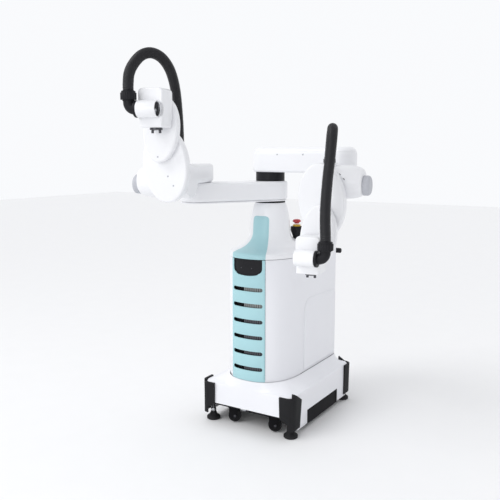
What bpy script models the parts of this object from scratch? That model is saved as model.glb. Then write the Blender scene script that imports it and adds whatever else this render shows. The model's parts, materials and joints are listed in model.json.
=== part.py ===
"""Dual-arm SCARA robot on a wheeled cart.

The cart carries a cabinet tower. Two arms turn about one neck axis on top of it, one above the
other. Each arm is a level link, a second level link, and a two-link lift that keeps its wrist
upright. Metres, +Z up, the robot faces -Y and its floor is z = 0.
"""
from math import atan2, cos, hypot, pi, radians, sin, sqrt

import bmesh
import bpy
from mathutils import Matrix, Vector

# ---------------------------------------------------------------- driving dimensions
SHIFT_X, SHIFT_Y = -0.1282, 0.2957  # puts the middle of the whole object's box over the origin
GAP = 0.0003                      # left between pieces that touch
ROUND = 6                         # segments in a quarter of a round corner

# cart
CART_X, CART_FRONT, CART_REAR = 0.238, -0.315, 0.308
CART_CORNER = 0.031
SKIRT_Z, SHOULDER_Z, SEAM_Z = 0.096, 0.188, 0.2365
SHROUD_WALL = 0.004
LEG_Y0, LEG_Y1, LEG_Z = 0.164, 0.262, 0.030            # the skirt reaches lower beside each bumper
PLATE_Z0, PLATE_Z1 = 0.0865, 0.1085
BEAM_HALF_Y, BEAM_X0, BEAM_X1, BEAM_Z = 0.172, 0.212, 0.232, 0.021
BUMPER_WALL, BUMPER_Z0 = 0.0115, 0.040
BUMPER_WING_X, BUMPER_WING_Y = 0.1755, 0.236
BUMPER_LEG_X, BUMPER_LEG_Z, BUMPER_WING_Z = 0.2150, 0.066, 0.092
BUMPER_LEVEL, BUMPER_SIDE_TOP, BUMPER_SIDE_END, BUMPER_REAR_END = 0.194, 0.215, 0.172, 0.214
BUMPER_LEFT_TOP = 0.200      # the front left guard has no horn on its side wing
BUMPER_HORN = 0.010          # the horn starts this far behind the cart's front
BUMPER_NOTCH_X = 0.150       # the cut beside the wheel starts here
BUMPER_RISE_X, BUMPER_RISE_Z = 0.140, 0.020    # run of the rising top of a rear wing
BEYOND = 0.400               # past every outside face, for cutters
INSIDE = 0.200               # well inside the corner guards' wings, for cutters
FOOT_X, FOOT_Y, PAD_R, STUD_R, NUT_OF_FOOT_R = 0.2115, 0.283, 0.0325, 0.0085, 0.0135
CASTER_X, CASTER_Y, CASTER_TRAIL, CASTER_TURN = 0.110, 0.279, 0.016, radians(-58.0)
WHEEL_R, WHEEL_WIDTH, WHEEL_Z = 0.0315, 0.022, 0.0355

# cabinet
CAB_X, CAB_REAR, CAB_CORNER = 0.167, 0.300, 0.036
NOSE_Y, NOSE_DEPTH, NOSE_POWER = -0.100, 0.220, 2.4
CAB_TOP, CAB_WALL = 0.800, 0.003
PANEL_X, PANEL_WALL = 0.0865, 0.004
SLOTS, SLOT_TOP_Z, SLOT_PITCH, SLOT_HIGH, SLOT_HALF = 6, 0.6640, 0.0736, 0.0180, 0.0765
POCKET_X, POCKET_Z0, POCKET_Z1, POCKET_CORNER = 0.0745, 0.7260, 0.8200, 0.030
SIDE_Y0, SIDE_Y1, SIDE_Z0, SIDE_Z1, SIDE_CORNER, SIDE_THICK = -0.075, 0.262, 0.252, 0.590, 0.060, 0.008
HANDLE_Y, HANDLE_Z, HANDLE_R, HANDLE_HALF, POST_X, POST_R = 0.342, 0.770, 0.013, 0.164, 0.120, 0.008

# neck, on the axis that both arms share
NECK_Y = -0.110
NECK_BOTTOM = CAB_TOP + GAP
NECK_RINGS = [  # share of the way out to the cabinet's outline, neck radius, height
    (1.00, 0.095, 0.8005), (1.00, 0.095, 0.8120), (0.985, 0.095, 0.8200), (0.95, 0.095, 0.8250),
    (0.75, 0.095, 0.8330),
    (0.50, 0.095, 0.8420), (0.28, 0.095, 0.8560), (0.10, 0.095, 0.8760), (0.0, 0.095, 0.9050),
    (0.0, 0.091, 0.9600), (0.0, 0.084, 1.0050), (0.0, 0.077, 1.0300), (0.0, 0.0705, 1.0430),
]
INSET_TOP_ANGLE, INSET_FOOT_ANGLE, INSET_RAISE = radians(27.5), radians(24.4), 0.0025
INSET_TOP = (0.0, 0.0873, 0.9850)
SHAFT_R, COLUMN_R = 0.034, 0.050
SEAM_RING_R, SEAM_RING_Z0, SEAM_RING_Z1 = 0.0700, 1.0433, 1.0517
ESTOP_X, ESTOP_Y, ESTOP_Z = 0.0780, 0.0100, 0.9230  # its height is the holder's top

# arms
LINK1 = 0.370
LINK2 = 0.415
LINK3 = 0.138
LIFT_LIMIT = radians(84.0)
LINK1_R0, LOWER_R1, UPPER_R1 = 0.080, 0.075, 0.064
LOWER_Z0, LOWER_Z1 = 1.0520, 1.1430
COLLAR_R, COLLAR_Z0, COLLAR_Z1 = 0.0665, 1.1433, 1.1847
UPPER_Z0, UPPER_Z1, LID_HIGH = 1.1850, 1.2760, 0.0220
LIFT_Z = 1.154
LIFT_S0, LIFT_S1 = 0.2850, 0.3300      # how far the first lift link lies in front of the elbow axis
FOLLOW_S0, FOLLOW_S1 = 0.3305, 0.3670
WRIST_S0, WRIST_S1, WRIST_HALF = 0.3680, 0.4650, 0.0490
WRIST_DOWN, WRIST_UP = 0.0640, 0.0800
LIFT_HALF, LIFT_LONG, FOLLOW_HALF, FOLLOW_LONG = 0.0940, 0.1480, 0.0720, 0.1260  # half axes of the ovals
DRUM_S, DRUM_Z, DRUM_R, DRUM_IN, DRUM_ROUND = 0.2170, 1.1560, 0.0675, -0.0640, 0.0240
CAP_R, CAP_HIGH, CAP_DROP = 0.0400, 0.0280, 0.0130
BOX_HALF, BOX_REAR = 0.0640, 0.0730
AXLE_R, AXLE_CLEAR, AXLE_DEEP = 0.0240, 0.0006, 0.0200
SPOOL_S, SPOOL_Z, SPOOL_R, SPOOL_IN, SPOOL_OUT = 0.4860, 0.0015, 0.0315, -0.0400, 0.0380
ELBOW_R, ELBOW_BEND, ELBOW_COLLAR = 0.0200, 0.0240, 0.0100
NUT_R, NUT_Z0, NUT_Z1, NUT_T = 0.0300, 0.0355, 0.0680, 0.0762
GLAND_S, GLAND_R, GLAND_Z0, GLAND_Z1 = 0.2330, 0.0270, 1.2320, 1.2550
HOSE_R = 0.0205
FLANGE_R, FLANGE_HIGH, PIN_R, PIN_HIGH, PIN_OFFSET = 0.0240, 0.0080, 0.0050, 0.0120, 0.0150

# each arm: heading of both level links from straight ahead toward +X, side, lift angle, and how far
# out the drive drum ends and the hose gland sits
ARMS = {
    "left": dict(heading1=radians(-31.0), heading2=radians(15.0), side=-1, lift=LIFT_LIMIT, drum=0.162, gland=-0.017),
    "right": dict(heading1=radians(87.0), heading2=radians(8.5), side=1, lift=-LIFT_LIMIT, drum=0.150, gland=0.012),
}
# where each hose runs: forward of the elbow axis, toward the outer side, height
HOSE_ROUTES = {
    "left": [
        (0.2330, -0.0170, 1.2553), (0.2330, -0.0170, 1.2700), (0.2345, -0.0170, 1.3200),
        (0.2380, -0.0170, 1.3800), (0.2450, -0.0165, 1.4400), (0.2560, -0.0150, 1.5050),
        (0.2740, -0.0110, 1.5600), (0.3000, -0.0030, 1.6030), (0.3350, 0.0120, 1.6340),
        (0.3750, 0.0330, 1.6450), (0.4150, 0.0530, 1.6320), (0.4500, 0.0690, 1.5980),
        (0.4760, 0.0758, 1.5600), (0.4860, 0.0762, 1.5180), (0.4860, 0.0762, 1.4971),
    ],
    "right": [
        (0.2330, 0.0120, 1.2553), (0.2330, 0.0120, 1.2660), (0.2410, 0.0175, 1.3020),
        (0.2620, 0.0270, 1.3405), (0.2880, 0.0375, 1.3600), (0.3180, 0.0470, 1.3640),
        (0.3500, 0.0565, 1.3550), (0.3760, 0.0625, 1.3320), (0.3940, 0.0650, 1.2960),
        (0.4100, 0.0650, 1.2420), (0.4250, 0.0630, 1.1820), (0.4450, 0.0625, 1.0920),
        (0.4640, 0.0670, 1.0250), (0.4810, 0.0740, 0.9750), (0.4860, 0.0762, 0.9600),
        (0.4860, 0.0762, 0.9481),
    ],
}
NOSE_STEPS = 8               # enough rounds to meet the cabinet's outline in a given direction
HOSE_POINTS = 17

# ---------------------------------------------------------------- scene and materials
for old in list(bpy.data.objects):
    bpy.data.objects.remove(old, do_unlink=True)

parts = bpy.data.collections.new("dual_arm_scara_robot")
cutters = bpy.data.collections.new("cutters")
bpy.context.scene.collection.children.link(parts)
bpy.context.scene.collection.children.link(cutters)


def material(name, colour, roughness, metallic=0.0):
    mat = bpy.data.materials.new(name)
    mat.use_nodes = True
    shader = mat.node_tree.nodes["Principled BSDF"]
    shader.inputs["Base Color"].default_value = (*colour, 1.0)
    shader.inputs["Roughness"].default_value = roughness
    shader.inputs["Metallic"].default_value = metallic
    mat.diffuse_color = (*colour, 1.0)
    return mat


WHITE = material("white_paint", (0.86, 0.87, 0.90), 0.35)
TEAL = material("teal_plastic", (0.38, 0.68, 0.75), 0.40)
BLACK = material("black_plastic", (0.025, 0.025, 0.030), 0.50)
RUBBER = material("black_rubber", (0.020, 0.020, 0.022), 0.80)
STEEL = material("steel", (0.55, 0.56, 0.58), 0.30, 1.0)
ALUMINIUM = material("aluminium", (0.70, 0.71, 0.73), 0.35, 1.0)
GREY = material("grey_plastic", (0.55, 0.56, 0.60), 0.45)
RED = material("red_plastic", (0.70, 0.03, 0.05), 0.35)
YELLOW = material("yellow_plastic", (0.85, 0.62, 0.05), 0.40)


# ---------------------------------------------------------------- modelling helpers
def empty(name, parent=None, location=(0, 0, 0), turn=0.0):
    obj = bpy.data.objects.new(name, None)
    obj.empty_display_size = 0.05
    obj.location = location
    obj.rotation_euler = (0, 0, turn)
    obj.parent = parent
    parts.objects.link(obj)
    return obj


def keep(mesh, name, mat, parent):
    """A finished mesh becomes a named piece under its joint's empty."""
    obj = bpy.data.objects.new(name, mesh)
    mesh.materials.clear()
    mesh.materials.append(mat)
    obj.parent = parent
    parts.objects.link(obj)
    return obj


def cutter(mesh, name, parent):
    obj = bpy.data.objects.new(name, mesh)
    obj.parent = parent
    obj.hide_render = True
    obj.display_type = "WIRE"
    cutters.objects.link(obj)
    return obj


def bevel(obj, width, segments=2, angle=40.0):
    mod = obj.modifiers.new("rounded_edges", "BEVEL")
    mod.width = width
    mod.segments = segments
    mod.limit_method = "ANGLE"
    mod.angle_limit = radians(angle)
    return obj


def boolean(obj, other, operation="DIFFERENCE"):
    mod = obj.modifiers.new(other.name, "BOOLEAN")
    mod.operation = operation
    mod.solver = "EXACT"
    mod.object = other
    return obj


def baked(curve_obj):
    """A curve object's solid, as a mesh with its caps welded."""
    bpy.context.scene.collection.objects.link(curve_obj)
    graph = bpy.context.evaluated_depsgraph_get()
    mesh = bpy.data.meshes.new_from_object(curve_obj.evaluated_get(graph))
    mesh.transform(curve_obj.matrix_world)
    bm = bmesh.new()
    bm.from_mesh(mesh)
    bmesh.ops.remove_doubles(bm, verts=bm.verts, dist=0.00001)
    bmesh.ops.recalc_face_normals(bm, faces=bm.faces)
    bm.to_mesh(mesh)
    bm.free()
    bpy.data.objects.remove(curve_obj, do_unlink=True)
    return mesh


def slab(outline, low, high, axis="Z"):
    """A flat outline between two heights: in XY along Z, in XZ along Y, or in YZ along X."""
    data = bpy.data.curves.new("outline", "CURVE")
    data.dimensions = "2D"
    data.fill_mode = "BOTH"
    data.extrude = (high - low) / 2
    spline = data.splines.new("POLY")
    spline.points.add(len(outline) - 1)
    for point, (a, b) in zip(spline.points, outline):
        point.co = (a, b, 0, 1)
    spline.use_cyclic_u = True
    obj = bpy.data.objects.new("outline", data)
    middle = (low + high) / 2
    to_world = {
        "Z": Matrix.Translation((0, 0, middle)),
        "Y": Matrix.Translation((0, middle, 0)) @ Matrix(((1, 0, 0, 0), (0, 0, -1, 0), (0, 1, 0, 0), (0, 0, 0, 1))),
        "X": Matrix.Translation((middle, 0, 0)) @ Matrix(((0, 0, 1, 0), (1, 0, 0, 0), (0, 1, 0, 0), (0, 0, 0, 1))),
    }
    obj.matrix_world = to_world[axis]
    bpy.context.view_layer.update()
    return baked(obj)


def cylinder(radius, low, high, centre=(0, 0), axis="Z", segments=32, top_radius=None):
    """A round bar from low to high along an axis, centred on the other two coordinates."""
    bm = bmesh.new()
    bmesh.ops.create_cone(
        bm, cap_ends=True, segments=segments, radius1=radius,
        radius2=radius if top_radius is None else top_radius, depth=high - low)
    turns = {"Z": Matrix.Identity(4), "X": Matrix.Rotation(pi / 2, 4, "Y"), "Y": Matrix.Rotation(-pi / 2, 4, "X")}
    middle = (low + high) / 2
    place = {
        "Z": (centre[0], centre[1], middle), "X": (middle, centre[0], centre[1]),
        "Y": (centre[0], middle, centre[1])}
    bmesh.ops.transform(bm, matrix=Matrix.Translation(place[axis]) @ turns[axis], verts=bm.verts)
    mesh = bpy.data.meshes.new("cylinder")
    bm.to_mesh(mesh)
    bm.free()
    return mesh


def block(low, high):
    bm = bmesh.new()
    bmesh.ops.create_cube(bm, size=1.0)
    size = Vector(high) - Vector(low)
    bmesh.ops.scale(bm, vec=size, verts=bm.verts)
    bmesh.ops.translate(bm, vec=(Vector(high) + Vector(low)) / 2, verts=bm.verts)
    mesh = bpy.data.meshes.new("block")
    bm.to_mesh(mesh)
    bm.free()
    return mesh


def turned(name, profile, mat, parent, location=(0, 0, 0), steps=32):
    """A turned piece: the profile runs down its outer side from the axis at the top to the bottom."""
    mesh = bpy.data.meshes.new(name)
    bm = bmesh.new()
    verts = [bm.verts.new((r, 0, z)) for r, z in profile]
    for a, b in zip(verts, verts[1:]):
        bm.edges.new((a, b))
    bm.to_mesh(mesh)
    bm.free()
    obj = keep(mesh, name, mat, parent)
    obj.location = location
    mod = obj.modifiers.new("turn", "SCREW")
    mod.axis = "Z"
    mod.steps = steps
    mod.render_steps = steps
    mod.use_merge_vertices = True
    mod.merge_threshold = 0.00001
    mod.use_normal_calculate = False
    return obj


def arc(cx, cy, r, start, end, count):
    return [
        (cx + r * cos(start + (end - start) * i / count), cy + r * sin(start + (end - start) * i / count))
        for i in range(count + 1)
    ]


def two_circle_outline(x0, y0, r0, x1, y1, r1, count=10):
    """The outline that wraps two circles."""
    along = atan2(y1 - y0, x1 - x0)
    lean = sqrt(1 - ((r0 - r1) / hypot(x1 - x0, y1 - y0)) ** 2)
    side = atan2(lean, (r0 - r1) / hypot(x1 - x0, y1 - y0))
    first = arc(x0, y0, r0, along + side, along + 2 * pi - side, count)
    second = arc(x1, y1, r1, along - side, along + side, count)
    return first + second


def oval_outline(end, half, long, count=28):
    """The oval link's outline, round the middle of the line from its pivot at the origin to its other end."""
    reach = hypot(*end)
    along, middle = (end[0] / reach, end[1] / reach), (end[0] / 2, end[1] / 2)
    points = []
    for i in range(count):
        a, b = long * cos(2 * pi * i / count), half * sin(2 * pi * i / count)
        points.append((middle[0] + along[0] * a - along[1] * b, middle[1] + along[1] * a + along[0] * b))
    return points


def rounded_bar(radius, low, high, corner, centre, side, segments=36):
    """A round bar across X, from low to high on the side given by its sign, with its far edge rounded."""
    steps = [(low, radius)] + [
        (high - corner + corner * sin(turn), radius - corner + corner * cos(turn))
        for turn in (pi / 2 * i / 4 for i in range(5))]
    rings = []
    for x, r in steps:
        ring = arc(centre[0], centre[1], r, 0, 2 * pi * (segments - 1) / segments, segments - 1)
        rings.append([(side * x, y, z) for y, z in ring])
    return loft(rings if side > 0 else [ring[::-1] for ring in rings], "bar", caps=True)


def loft(rings, name, closed=True, caps=False):
    """A surface through rings of equal length, facing outward when they run anticlockwise upward."""
    bm = bmesh.new()
    rows = [[bm.verts.new(p) for p in ring] for ring in rings]
    count = len(rings[0])
    for low, high in zip(rows, rows[1:]):
        for i in range(count if closed else count - 1):
            j = (i + 1) % count
            bm.faces.new((low[i], low[j], high[j], high[i]))
    if caps:
        bm.faces.new(rows[0][::-1])
        bm.faces.new(rows[-1])
    mesh = bpy.data.meshes.new(name)
    bm.to_mesh(mesh)
    bm.free()
    return mesh


def shell(obj, wall, offset=-1.0):
    mod = obj.modifiers.new("wall", "SOLIDIFY")
    mod.thickness = wall
    mod.offset = offset
    mod.use_even_offset = True
    return obj


# ---------------------------------------------------------------- outlines in plan
def nose_y(x, grow=0.0):
    """The cabinet's convex front, grown outward."""
    share = (abs(x) / (CAB_X + grow)) ** NOSE_POWER
    return NOSE_Y - (NOSE_DEPTH + grow) * (1 - min(share, 1.0)) ** (1 / NOSE_POWER)


def nose_curve(x0, x1, count, grow=0.0):
    """Points of the convex front from x0 to x1, closer together where it turns."""
    start, end = (max(-pi / 2, min(pi / 2, (x / (CAB_X + grow)) * pi / 2)) for x in (x0, x1))
    xs = [(CAB_X + grow) * (start + (end - start) * i / count) / (pi / 2) for i in range(count + 1)]
    xs[0], xs[-1] = x0, x1
    return [(x, nose_y(x, grow)) for x in xs]


def corner_nose(side, end_x, grow=0.0):
    """Front corner from the straight side to end_x, on the side given by its sign."""
    reach = CAB_X + grow
    points = []
    last = pi / 2 * (1 - end_x / reach)
    for i in range(ROUND + 1):
        turn = last * i / ROUND
        x = reach * cos(turn) if i < ROUND else end_x
        points.append((side * x, nose_y(x, grow)))
    return points


def cabinet_ring(grow=0.0, end_x=0.02):
    """The cabinet's outline, anticlockwise from its rear right corner."""
    r = CAB_CORNER + grow
    rear = CAB_REAR + grow
    rear_right = arc(CAB_X + grow - r, rear - r, r, 0, pi / 2, ROUND)
    rear_left = arc(-CAB_X - grow + r, rear - r, r, pi / 2, pi, ROUND)
    return rear_right + rear_left + corner_nose(-1, end_x, grow) + corner_nose(1, end_x, grow)[::-1]


def cart_ring(shrink=0.0):
    """The cart's rounded rectangle, matched point for point with the cabinet's outline."""
    x, y0, y1 = CART_X - shrink, CART_FRONT + shrink, CART_REAR - shrink
    r = CART_CORNER
    return (
        arc(x - r, y1 - r, r, 0, pi / 2, ROUND) + arc(r - x, y1 - r, r, pi / 2, pi, ROUND)
        + arc(r - x, y0 + r, r, pi, 1.5 * pi, ROUND) + arc(x - r, y0 + r, r, 1.5 * pi, 2 * pi, ROUND))


def at_height(points, z):
    return [(x, y, z) for x, y in points]


def mixed(outer, inner, share):
    return [(a[0] + (b[0] - a[0]) * share, a[1] + (b[1] - a[1]) * share) for a, b in zip(outer, inner)]


# ---------------------------------------------------------------- cart
robot = empty("robot_root", location=(SHIFT_X, SHIFT_Y, 0))
cart = empty("cart", robot)


def build_base_shroud():
    foot, head = cart_ring(), cabinet_ring(grow=0.0020)
    rings = [
        at_height(foot, SKIRT_Z), at_height(foot, SHOULDER_Z),
        at_height(mixed(cart_ring(0.004), head, 0.06), SHOULDER_Z + 0.008),
        at_height(mixed(foot, head, 0.50), SHOULDER_Z + 0.024),
        at_height(mixed(foot, head, 0.88), SEAM_Z - 0.008),
        at_height(head, SEAM_Z),
    ]
    shroud = shell(keep(loft(rings, "base_shroud"), "base_shroud", WHITE, cart), SHROUD_WALL)
    for side in (-1, 1):
        for end in (-1, 1):
            xs = sorted((side * (CART_X - SHROUD_WALL), side * CART_X))
            ys = sorted((end * LEG_Y0, end * LEG_Y1))
            leg = block((xs[0], ys[0], LEG_Z), (xs[1], ys[1], SKIRT_Z + 0.004))
            boolean(shroud, cutter(leg, f"skirt_leg_{side}_{end}", cart), "UNION")


def build_chassis():
    plate = keep(slab(cart_ring(SHROUD_WALL + 0.002), PLATE_Z0, PLATE_Z1), "chassis", BLACK, cart)
    for side in (-1, 1):
        xs = sorted((side * BEAM_X0, side * BEAM_X1))
        beam = block((xs[0], -BEAM_HALF_Y, BEAM_Z), (xs[1], BEAM_HALF_Y, PLATE_Z0 + 0.004))
        boolean(plate, cutter(beam, f"side_beam_{side}", cart), "UNION")


def build_bumper(name, x_side, y_side):
    """A corner guard with a wing each way round the cart, cut away under the wing beside the wheel."""
    inner_x, inner_y = CART_X + GAP, (CART_REAR if y_side > 0 else -CART_FRONT) + GAP
    outer_x, outer_y = inner_x + BUMPER_WALL, inner_y + BUMPER_WALL
    r_in = CART_CORNER
    r_out = r_in + BUMPER_WALL
    outline = (
        [(BUMPER_WING_X, outer_y)] + arc(outer_x - r_out, outer_y - r_out, r_out, pi / 2, 0, ROUND)
        + [(outer_x, BUMPER_WING_Y), (inner_x, BUMPER_WING_Y)]
        + arc(inner_x - r_in, inner_y - r_in, r_in, 0, pi / 2, ROUND) + [(BUMPER_WING_X, inner_y)])
    points = [(x * x_side, y * y_side) for x, y in outline]
    bumper = keep(slab(points, BUMPER_Z0, BUMPER_SIDE_TOP), name, BLACK, cart)
    notch = [
        (BUMPER_NOTCH_X, 0), (BUMPER_NOTCH_X, BUMPER_WING_Z + 0.015), (BUMPER_LEG_X, BUMPER_LEG_Z),
        (BUMPER_LEG_X, 0)]
    ys = sorted((y_side * INSIDE, y_side * BEYOND))
    boolean(bumper, cutter(slab([(x * x_side, z) for x, z in notch], *ys, "Y"), f"{name}_notch", cart))
    edge = inner_y - BUMPER_HORN
    if y_side < 0:
        over = block((-BEYOND, -BEYOND, BUMPER_LEVEL), (BEYOND, -edge, BEYOND))
        boolean(bumper, cutter(over, f"{name}_level", cart))
    if y_side < 0 and x_side < 0:
        over = block((-BEYOND, -BEYOND, BUMPER_LEFT_TOP), (0, 0, BEYOND))
        boolean(bumper, cutter(over, f"{name}_top", cart))
    if y_side < 0 < x_side:
        fall = (BUMPER_SIDE_TOP - BUMPER_SIDE_END) / (edge - BUMPER_WING_Y)
        low_z = BUMPER_SIDE_END - fall * (BUMPER_WING_Y - INSIDE)
        slope = [(-INSIDE, low_z), (-edge, BUMPER_SIDE_TOP), (-edge, BEYOND), (-INSIDE, BEYOND)]
        boolean(bumper, cutter(slab(slope, INSIDE, BEYOND, "X"), f"{name}_slope", cart))
    if y_side > 0:
        slope = [
            (BUMPER_RISE_X, BEYOND), (BUMPER_RISE_X, BUMPER_REAR_END + BUMPER_RISE_Z),
            (BUMPER_WING_X, BUMPER_REAR_END), (outer_x - r_out, BUMPER_LEVEL), (BEYOND, BUMPER_LEVEL),
            (BEYOND, BEYOND)]
        boolean(bumper, cutter(slab([(x * x_side, z) for x, z in slope], 0, BEYOND, "Y"), f"{name}_slope", cart))
    bevel(bumper, 0.0025, 1)


def build_foot(name, x, y):
    top = PLATE_Z0 - GAP
    profile = [
        (0, top), (0.014, top), (0.014, top - 0.010), (STUD_R, top - 0.010), (STUD_R, 0.052),
        (NUT_OF_FOOT_R, 0.052), (NUT_OF_FOOT_R, 0.040), (0.0125, 0.032), (0.020, 0.020), (PAD_R, 0.011),
        (PAD_R, 0), (0, 0)]
    turned(name, profile, RUBBER, cart, (x, y, 0), 20)


def build_caster(name, x, y):
    swivel = empty(f"{name}_swivel", cart, (x, y, 0), CASTER_TURN)
    inner, outer = WHEEL_WIDTH / 2 + 0.0020, WHEEL_WIDTH / 2 + 0.0050
    top, crown = WHEEL_Z + WHEEL_R + 0.0070, WHEEL_Z + WHEEL_R + 0.0030
    outline = [
        (-outer, WHEEL_Z - 0.009), (-inner, WHEEL_Z - 0.009), (-inner, crown), (inner, crown),
        (inner, WHEEL_Z - 0.009), (outer, WHEEL_Z - 0.009), (outer, top), (-outer, top)]
    fork = keep(slab(outline, -0.012, CASTER_TRAIL + 0.012, "Y"), f"{name}_fork", BLACK, swivel)
    stem = cylinder(0.016, top - 0.002, PLATE_Z0 - GAP, segments=20)
    boolean(fork, cutter(stem, f"{name}_stem", swivel), "UNION")
    wheel = cylinder(WHEEL_R, -WHEEL_WIDTH / 2, WHEEL_WIDTH / 2, (0, 0), "X", 24)
    axle = empty(f"{name}_axle", swivel, (0, CASTER_TRAIL, WHEEL_Z))
    bevel(keep(wheel, f"{name}_wheel", RUBBER, axle), 0.003, 1)


# ---------------------------------------------------------------- cabinet
def build_cabinet_shell():
    ring = cabinet_ring(end_x=PANEL_X + 0.0015)
    count = len(ring) // 2 + ROUND + 1
    strip = ring[-(ROUND + 1):] + ring[:count]
    rings = [at_height(strip, SEAM_Z + 0.001), at_height(strip, CAB_TOP)]
    shell(keep(loft(rings, "cabinet_shell", closed=False), "cabinet_shell", WHITE, cart), CAB_WALL)


def pocket_outline(grow=0.0):
    x, z0, r = POCKET_X + grow, POCKET_Z0 - grow, POCKET_CORNER
    return [(x, POCKET_Z1)] + arc(x - r, z0 + r, r, 0, -pi / 2, 5) + arc(r - x, z0 + r, r, -pi / 2, -pi, 5) + [
        (-x, POCKET_Z1)]


def build_front_panel():
    strip = nose_curve(-PANEL_X, PANEL_X, 12, 0.0020)
    rings = [at_height(strip, SEAM_Z + 0.002), at_height(strip, CAB_TOP - 0.0005)]
    panel = shell(keep(loft(rings, "front_panel", closed=False), "front_panel", TEAL, cart), PANEL_WALL)
    for i in range(SLOTS):
        z = SLOT_TOP_Z - i * SLOT_PITCH
        r = SLOT_HIGH / 2
        slot = arc(SLOT_HALF - r, z, r, -pi / 2, pi / 2, 4) + arc(r - SLOT_HALF, z, r, pi / 2, 1.5 * pi, 4)
        boolean(panel, cutter(slab(slot, -0.360, -0.250, "Y"), f"vent_slot_{i}", cart))
    boolean(panel, cutter(slab(pocket_outline(), -0.360, -0.250, "Y"), "pocket_cut", cart))
    plate_strip = nose_curve(-PANEL_X, PANEL_X, 12, 0.0)
    rings = [at_height(plate_strip, POCKET_Z0 - 0.01), at_height(plate_strip, CAB_TOP - 0.0005)]
    plate = shell(keep(loft(rings, "pocket_panel", closed=False), "pocket_panel", BLACK, cart), 0.0025)
    outline = pocket_outline(-0.0005)
    boolean(plate, cutter(slab(outline, -0.360, -0.250, "Y"), "pocket_outline", cart), "INTERSECT")


def build_side_cover(name, side):
    outline = [(SIDE_Y0, SIDE_Z0), (SIDE_Y1, SIDE_Z0), (SIDE_Y1, SIDE_Z1 - 0.004)]
    outline += arc(SIDE_Y0 + SIDE_CORNER, SIDE_Z1 - SIDE_CORNER, SIDE_CORNER, pi / 2, pi, 8)
    x0 = side * (CAB_X + GAP)
    x1 = side * (CAB_X + SIDE_THICK)
    cover = keep(slab(outline, min(x0, x1), max(x0, x1), "X"), name, WHITE, cart)
    bevel(cover, 0.0035, 1)


def build_rear_door():
    door = block((-0.112, CAB_REAR + GAP, 0.262), (0.112, CAB_REAR + 0.006, 0.700))
    bevel(keep(door, "rear_door", WHITE, cart), 0.0025, 1)


def build_handle():
    bar = keep(cylinder(HANDLE_R, -HANDLE_HALF, HANDLE_HALF, (HANDLE_Y, HANDLE_Z), "X", 20), "push_handle", BLACK, cart)
    for side in (-1, 1):
        post = cylinder(POST_R, CAB_REAR + GAP, HANDLE_Y, (side * POST_X, HANDLE_Z), "Y", 16)
        boolean(bar, cutter(post, f"handle_post_{side}", cart), "UNION")


def build_inside():
    controller = block((-0.130, 0.000, 0.125), (0.130, 0.270, 0.520))
    bevel(keep(controller, "controller_box", ALUMINIUM, cart), 0.003, 1)
    profile = [
        (0, UPPER_Z0 + 0.030), (SHAFT_R, UPPER_Z0 + 0.030), (SHAFT_R, SEAM_RING_Z0), (COLUMN_R, SEAM_RING_Z0),
        (COLUMN_R, 0.1250), (0.090, 0.1250), (0.090, PLATE_Z1 + GAP), (0, PLATE_Z1 + GAP)]
    turned("column", profile, STEEL, cart, (0, NECK_Y, 0), 24)


# ---------------------------------------------------------------- neck
def neck_ring(share, radius, z, raise_by=0.0, directions=None):
    """A ring of the neck cover: share of the way from the round neck out to the cabinet's outline."""
    outline = cabinet_ring()
    points = []
    for x, y in outline if directions is None else directions:
        dx, dy = x, y - NECK_Y
        reach = hypot(dx, dy)
        r = radius + share * (reach - radius) + raise_by
        points.append((dx / reach * r, NECK_Y + dy / reach * r, z))
    return points


def build_neck():
    rings = [neck_ring(share, radius, z) for share, radius, z in NECK_RINGS]
    cover = keep(loft(rings, "neck_cover", caps=True), "neck_cover", WHITE, cart)
    bore = cylinder(COLUMN_R + 0.002, NECK_RINGS[0][2] - 0.05, NECK_RINGS[-1][2] + 0.05, (0, NECK_Y))
    boolean(cover, cutter(bore, "column_bore", cart))
    rows = []
    chosen = NECK_RINGS[1:10] + [INSET_TOP]
    for i, (share, radius, z) in enumerate(chosen):
        up = i / (len(chosen) - 1)
        half = INSET_FOOT_ANGLE + (INSET_TOP_ANGLE - INSET_FOOT_ANGLE) * up
        row = []
        for j in range(9):
            turn = half * (j - 4) / 4
            x = 0.0
            for _ in range(NOSE_STEPS):
                x = (NECK_Y - nose_y(x)) * sin(turn) / cos(turn)
            row.append((x, nose_y(x)))
        rows.append(neck_ring(share, radius, z, 0.0008, row))
    inset = keep(loft(rows, "neck_panel", closed=False), "neck_panel", TEAL, cart)
    shell(inset, INSET_RAISE, 1.0)


def build_rings():
    for name, radius, low, high, bore in (
            ("seam_ring", SEAM_RING_R, SEAM_RING_Z0 + GAP, SEAM_RING_Z1, SHAFT_R + 0.001),
            ("shoulder_collar", COLLAR_R, COLLAR_Z0, COLLAR_Z1, SHAFT_R + 0.001)):
        ring = keep(cylinder(radius, low, high, (0, NECK_Y), segments=32), name, BLACK, cart)
        hole = cylinder(bore, low - 0.01, high + 0.01, (0, NECK_Y), segments=24)
        boolean(ring, cutter(hole, f"{name}_bore", cart))


def build_estop():
    place = (ESTOP_X, ESTOP_Y, 0)
    z = ESTOP_Z
    profile = [(0, z), (0.029, z), (0.030, z - 0.018), (0.013, z - 0.061), (0.013, z - 0.093), (0, z - 0.093)]
    holder = turned("estop_holder", profile, BLACK, cart, place, 20)
    cover = [neck_ring(share, radius, z, 0.0008) for share, radius, z in NECK_RINGS]
    boolean(holder, cutter(loft(cover, "neck_form", caps=True), "neck_form", cart))
    collar = [(0, z + 0.009), (0.0185, z + 0.009), (0.0185, z + GAP), (0, z + GAP)]
    turned("estop_collar", collar, YELLOW, cart, place, 20)
    button = [
        (0, z + 0.035), (0.015, z + 0.033), (0.020, z + 0.027), (0.020, z + 0.021), (0.012, z + 0.014),
        (0, z + 0.014)]
    turned("estop_button", button, RED, empty("estop_press", cart, place), (0, 0, 0), 20)


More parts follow.
